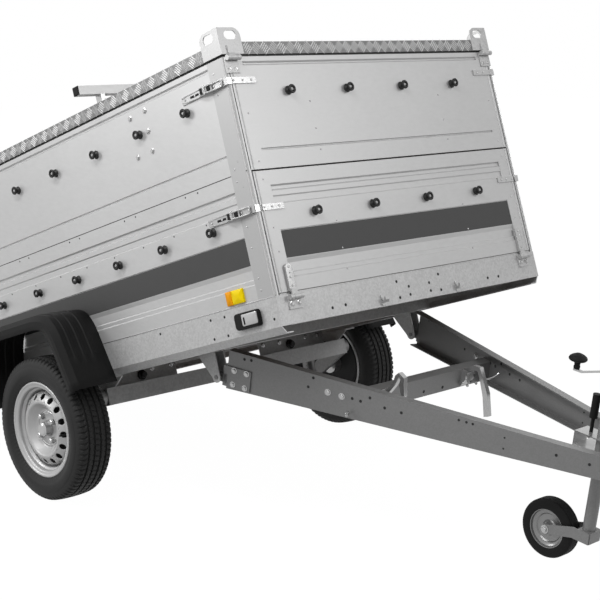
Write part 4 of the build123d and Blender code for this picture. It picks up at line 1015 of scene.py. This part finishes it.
# %% Wheel bolts and valves
wheel_bolt = [
    turned([(0, 11.5), (3, 12), (6, 11)], 18),
    turned([(5, 9.6), (17, 9.6), (19, 8), (19.5, 0)], 24, sides=6),
]
bolt_ring = 52
bolt_angle = np.radians([38, 128, 218, 308])
bolt_x, bolt_z = bolt_ring * np.cos(bolt_angle), bolt_ring * np.sin(bolt_angle)
for side_name, hand in wheels:
    body = f"wheel_{side_name}"
    spots = np.stack([bolt_x, np.full(4, hand * (half_track + 30)), bolt_z], 1)
    shapes = [mesh for half in wheel_bolt for mesh in studded(half, [(spots, (0, hand, 0))])]
    piece(f"wheel_bolts_{side_name}", shapes, body, "zinc")
    stem = [(x, hand * (half_track + reach), 0) for x, reach in ((132, 42), (130, 58), (129, 70))]
    piece(f"valve_{side_name}", [rod(stem, [4.5, 4, 3.5])], body, "rubber")

# %% Levers' rivets and the wire handle of the tip latches
lever_rivet = [(0, 6), (2.5, 5.6), (4, 3), (4.2, 0)]
lever_shapes = [
    turned(lever_rivet, 14, (x, y + out * 24, z), (0, out, 0))
    for y in (-225, 225) for out in (-1, 1) for x, z in ((528.5, 42), (516, 14), (541, 14))
]
handle = [(580, 226, 50), (586, 248, 44), (592, 272, 46), (597, 290, 54), (600, 298, 64)]
lever_shapes.append(rod(smooth_line(handle, 2), 3.6, 8))
piece("tip_latch_fittings", lever_shapes, "drawbar", "zinc")

# %% [markdown]
# ## Jockey wheel
# The small wheel has a solid tyre with eight fine grooves, and a stepped pressed rim. Above it the
# crank ends in a mushroom knob.

# %% Jockey wheel, its rim, its nuts and the knob
caster_x, caster_y, caster_z = caster_mid = (1137.5, -34, -241)
caster_axis = (0, 1, 0)
groove_profile = ((-0.9, 100), (-0.6, 98.4), (0.6, 98.4), (0.9, 100))
groove_rows = [(y + dy, r) for y in np.arange(-17.5, 18, 5) for dy, r in groove_profile]
tyre_side = [(25, 65.8), (25.6, 72), (26, 80), (24.9, 84), (25, 86), (24.6, 90), (23.6, 95), (21.4, 98.8)]
caster_line = [(-y, r) for y, r in tyre_side] + groove_rows + tyre_side[::-1] + [(-25, 65.8)]
piece("jockey_tyre", [turned(caster_line, 72, caster_mid, caster_axis)], "caster_wheel", "caster_rubber",
      stands_for=("caster_tyre",))
rim_side = [
    (25, 65.6), (24.6, 63.4), (22, 62.4), (16.5, 61), (13, 56), (12, 50), (8, 46), (7, 40), (7, 27),
    (10, 23), (20, 19), (25, 18), (25, 7.4),
]
rim_line = rim_side + [(-y, r) for y, r in rim_side[::-1]] + rim_side[:1]
piece("jockey_rim", [turned(rim_line, 72, caster_mid, caster_axis)], "caster_wheel", "caster_zinc",
      stands_for=("caster_rim",))
nuts = [
    copies(shape, [(caster_x, caster_y + hand * 34, caster_z)], [facing((0, hand, 0))])
    for hand in (-1, 1) for shape in bolt(10)
]
piece("jockey_nuts", nuts, "jockey_caster", "zinc")
knob_line = [
    (312.4, 4.3), (312.4, 9.4), (316, 10.6), (322, 10.8), (325, 9.2), (332, 10), (337, 15), (340.5, 26),
    (344, 29.6), (348, 30.4), (353, 28), (359, 20), (364, 9), (365.8, 0),
]
piece("crank_mushroom", [turned(knob_line, 36, (caster_x, caster_y, 0))], "drawbar", "black_plastic",
      stands_for=("crank_knob",))

# %% [markdown]
# ## Under the bed and at the sills
# Ahead of the axle a bolted plate hangs below the bed on each side, with a rubber grommet for a
# cable. A flat sill closes the slit below each gate.

# %% Plates, grommets and sills
plate_x = 101
plates = both_sides((plate_x - 5, 226, 79), (plate_x, 606, 160.5))
# The plates are darkened as painted shade under the bed.
piece("axle_plates", plates, "bed", "underside_zinc", smooth=False, bevel=1.2)
grommet = [(0, 20), (5, 21), (9, 19), (11, 14), (22, 12), (24, 10), (24, 0)]
grommets = [turned(grommet, 24, (plate_x, hand * 401, 123), (1, 0, 0)) for hand in (-1, 1)]
piece("grommets", grommets, "bed", "rubber")
bolt_places = [(hand * y, z) for hand in (-1, 1) for y, z in ((570, 138), (500, 140), (345, 140), (250, 142))]
plate_group = [(upright(0, plate_x, bolt_places), (1, 0, 0))]
plate_bolts = [mesh for half in bolt(7) for mesh in studded(half, plate_group)]
piece("axle_plate_bolts", plate_bolts, "bed", "zinc")
sills = [slab((x - out * 13, -655, 260.4), (x - out * 3, 655, 265.2)) for x, out in ends_face]
piece("gate_sills", sills, "bed", "galvanised", smooth=False)

# %% [markdown]
# ## Stage
# A white floor in a white world. Whatever looks at them directly, or in a mirror, sees plain white;
# the light that they throw on the trailer is dimmer, and the floor keeps a breath of its shadow.

# %% Floor, world and lamps
def seen_directly(tree):
    """1 where a ray comes from the camera, from a mirror or through glass."""
    path = tree.nodes.new("ShaderNodeLightPath")
    total = path.outputs["Is Camera Ray"]
    for kind in ("Is Glossy Ray", "Is Transmission Ray"):
        larger = tree.nodes.new("ShaderNodeMath")
        larger.operation = "MAXIMUM"
        tree.links.new(total, larger.inputs[0])
        tree.links.new(path.outputs[kind], larger.inputs[1])
        total = larger.outputs[0]
    return total


def choose(tree, factor, other, direct, output):
    """Feeds the output with one shader for light on the trailer and one for what is seen directly."""
    mix = tree.nodes.new("ShaderNodeMixShader")
    for socket, source in zip(mix.inputs, (factor, other, direct)):
        tree.links.new(source, socket)
    tree.links.new(mix.outputs[0], tree.nodes[output].inputs["Surface"])


room_light, floor_glow, glow_share = 0.26, 1.1, 0.9
world = bpy.data.worlds.new("studio")
bpy.context.scene.world = world
world.use_nodes = True
tree = world.node_tree
dim, white = tree.nodes["Background"], tree.nodes.new("ShaderNodeBackground")
for background, strength in ((dim, room_light), (white, 1.0)):
    background.inputs["Color"].default_value = (1, 1, 1, 1)
    background.inputs["Strength"].default_value = strength
choose(tree, seen_directly(tree), dim.outputs[0], white.outputs[0], "World Output")

floor_finish = Finish("floor_white", roughness=0.9)
floor_finish.give("Base Color", floor_finish.mix(floor_finish.noise(3, 1.0), 0.24, 0.27))
glow = floor_finish.add("ShaderNodeEmission", None, {"Color": (1.0, 1.0, 1.0), "Strength": floor_glow})
share = Wire(floor_finish, seen_directly(floor_finish.tree)) * glow_share
choose(floor_finish.tree, share.socket, floor_finish.shader.outputs[0], glow.socket, "Material Output")
floor_mesh = bpy.data.meshes.new("floor")
floor_mesh.from_pydata([(-40, -40, 0), (40, -40, 0), (40, 40, 0), (-40, 40, 0)], [], [(0, 1, 2, 3)])
floor_mesh.materials.append(floor_finish.material)
floor = add_object("floor", floor_mesh)


def lamp(name, place, aim, size, power):
    """A soft rectangular light at a place, turned towards an aim."""
    light = bpy.data.lights.new(name, "AREA")
    light.shape = "RECTANGLE"
    light.size, light.size_y = size
    light.energy = power
    place = np.asarray(place, float)
    add_object(name, light).matrix_world = pose(basis(place - aim), place)


lamp("key", (0.6, -2.5, 3.6), (0.6, -0.8, 0.9), (4.6, 0.4), 92)
lamp("side", (-3.6, -4.6, 2.6), (0.0, -0.6, 1.1), (1.6, 1.6), 90)
lamp("front", (4.8, 2.2, 3.6), (0.8, 0, 0.9), (1.8, 1.8), 75)
lamp("back", (-4.0, 4.5, 5.0), (0, 0, 0.8), (3.5, 3.5), 120)
bpy.context.scene.view_settings.view_transform = "Standard"
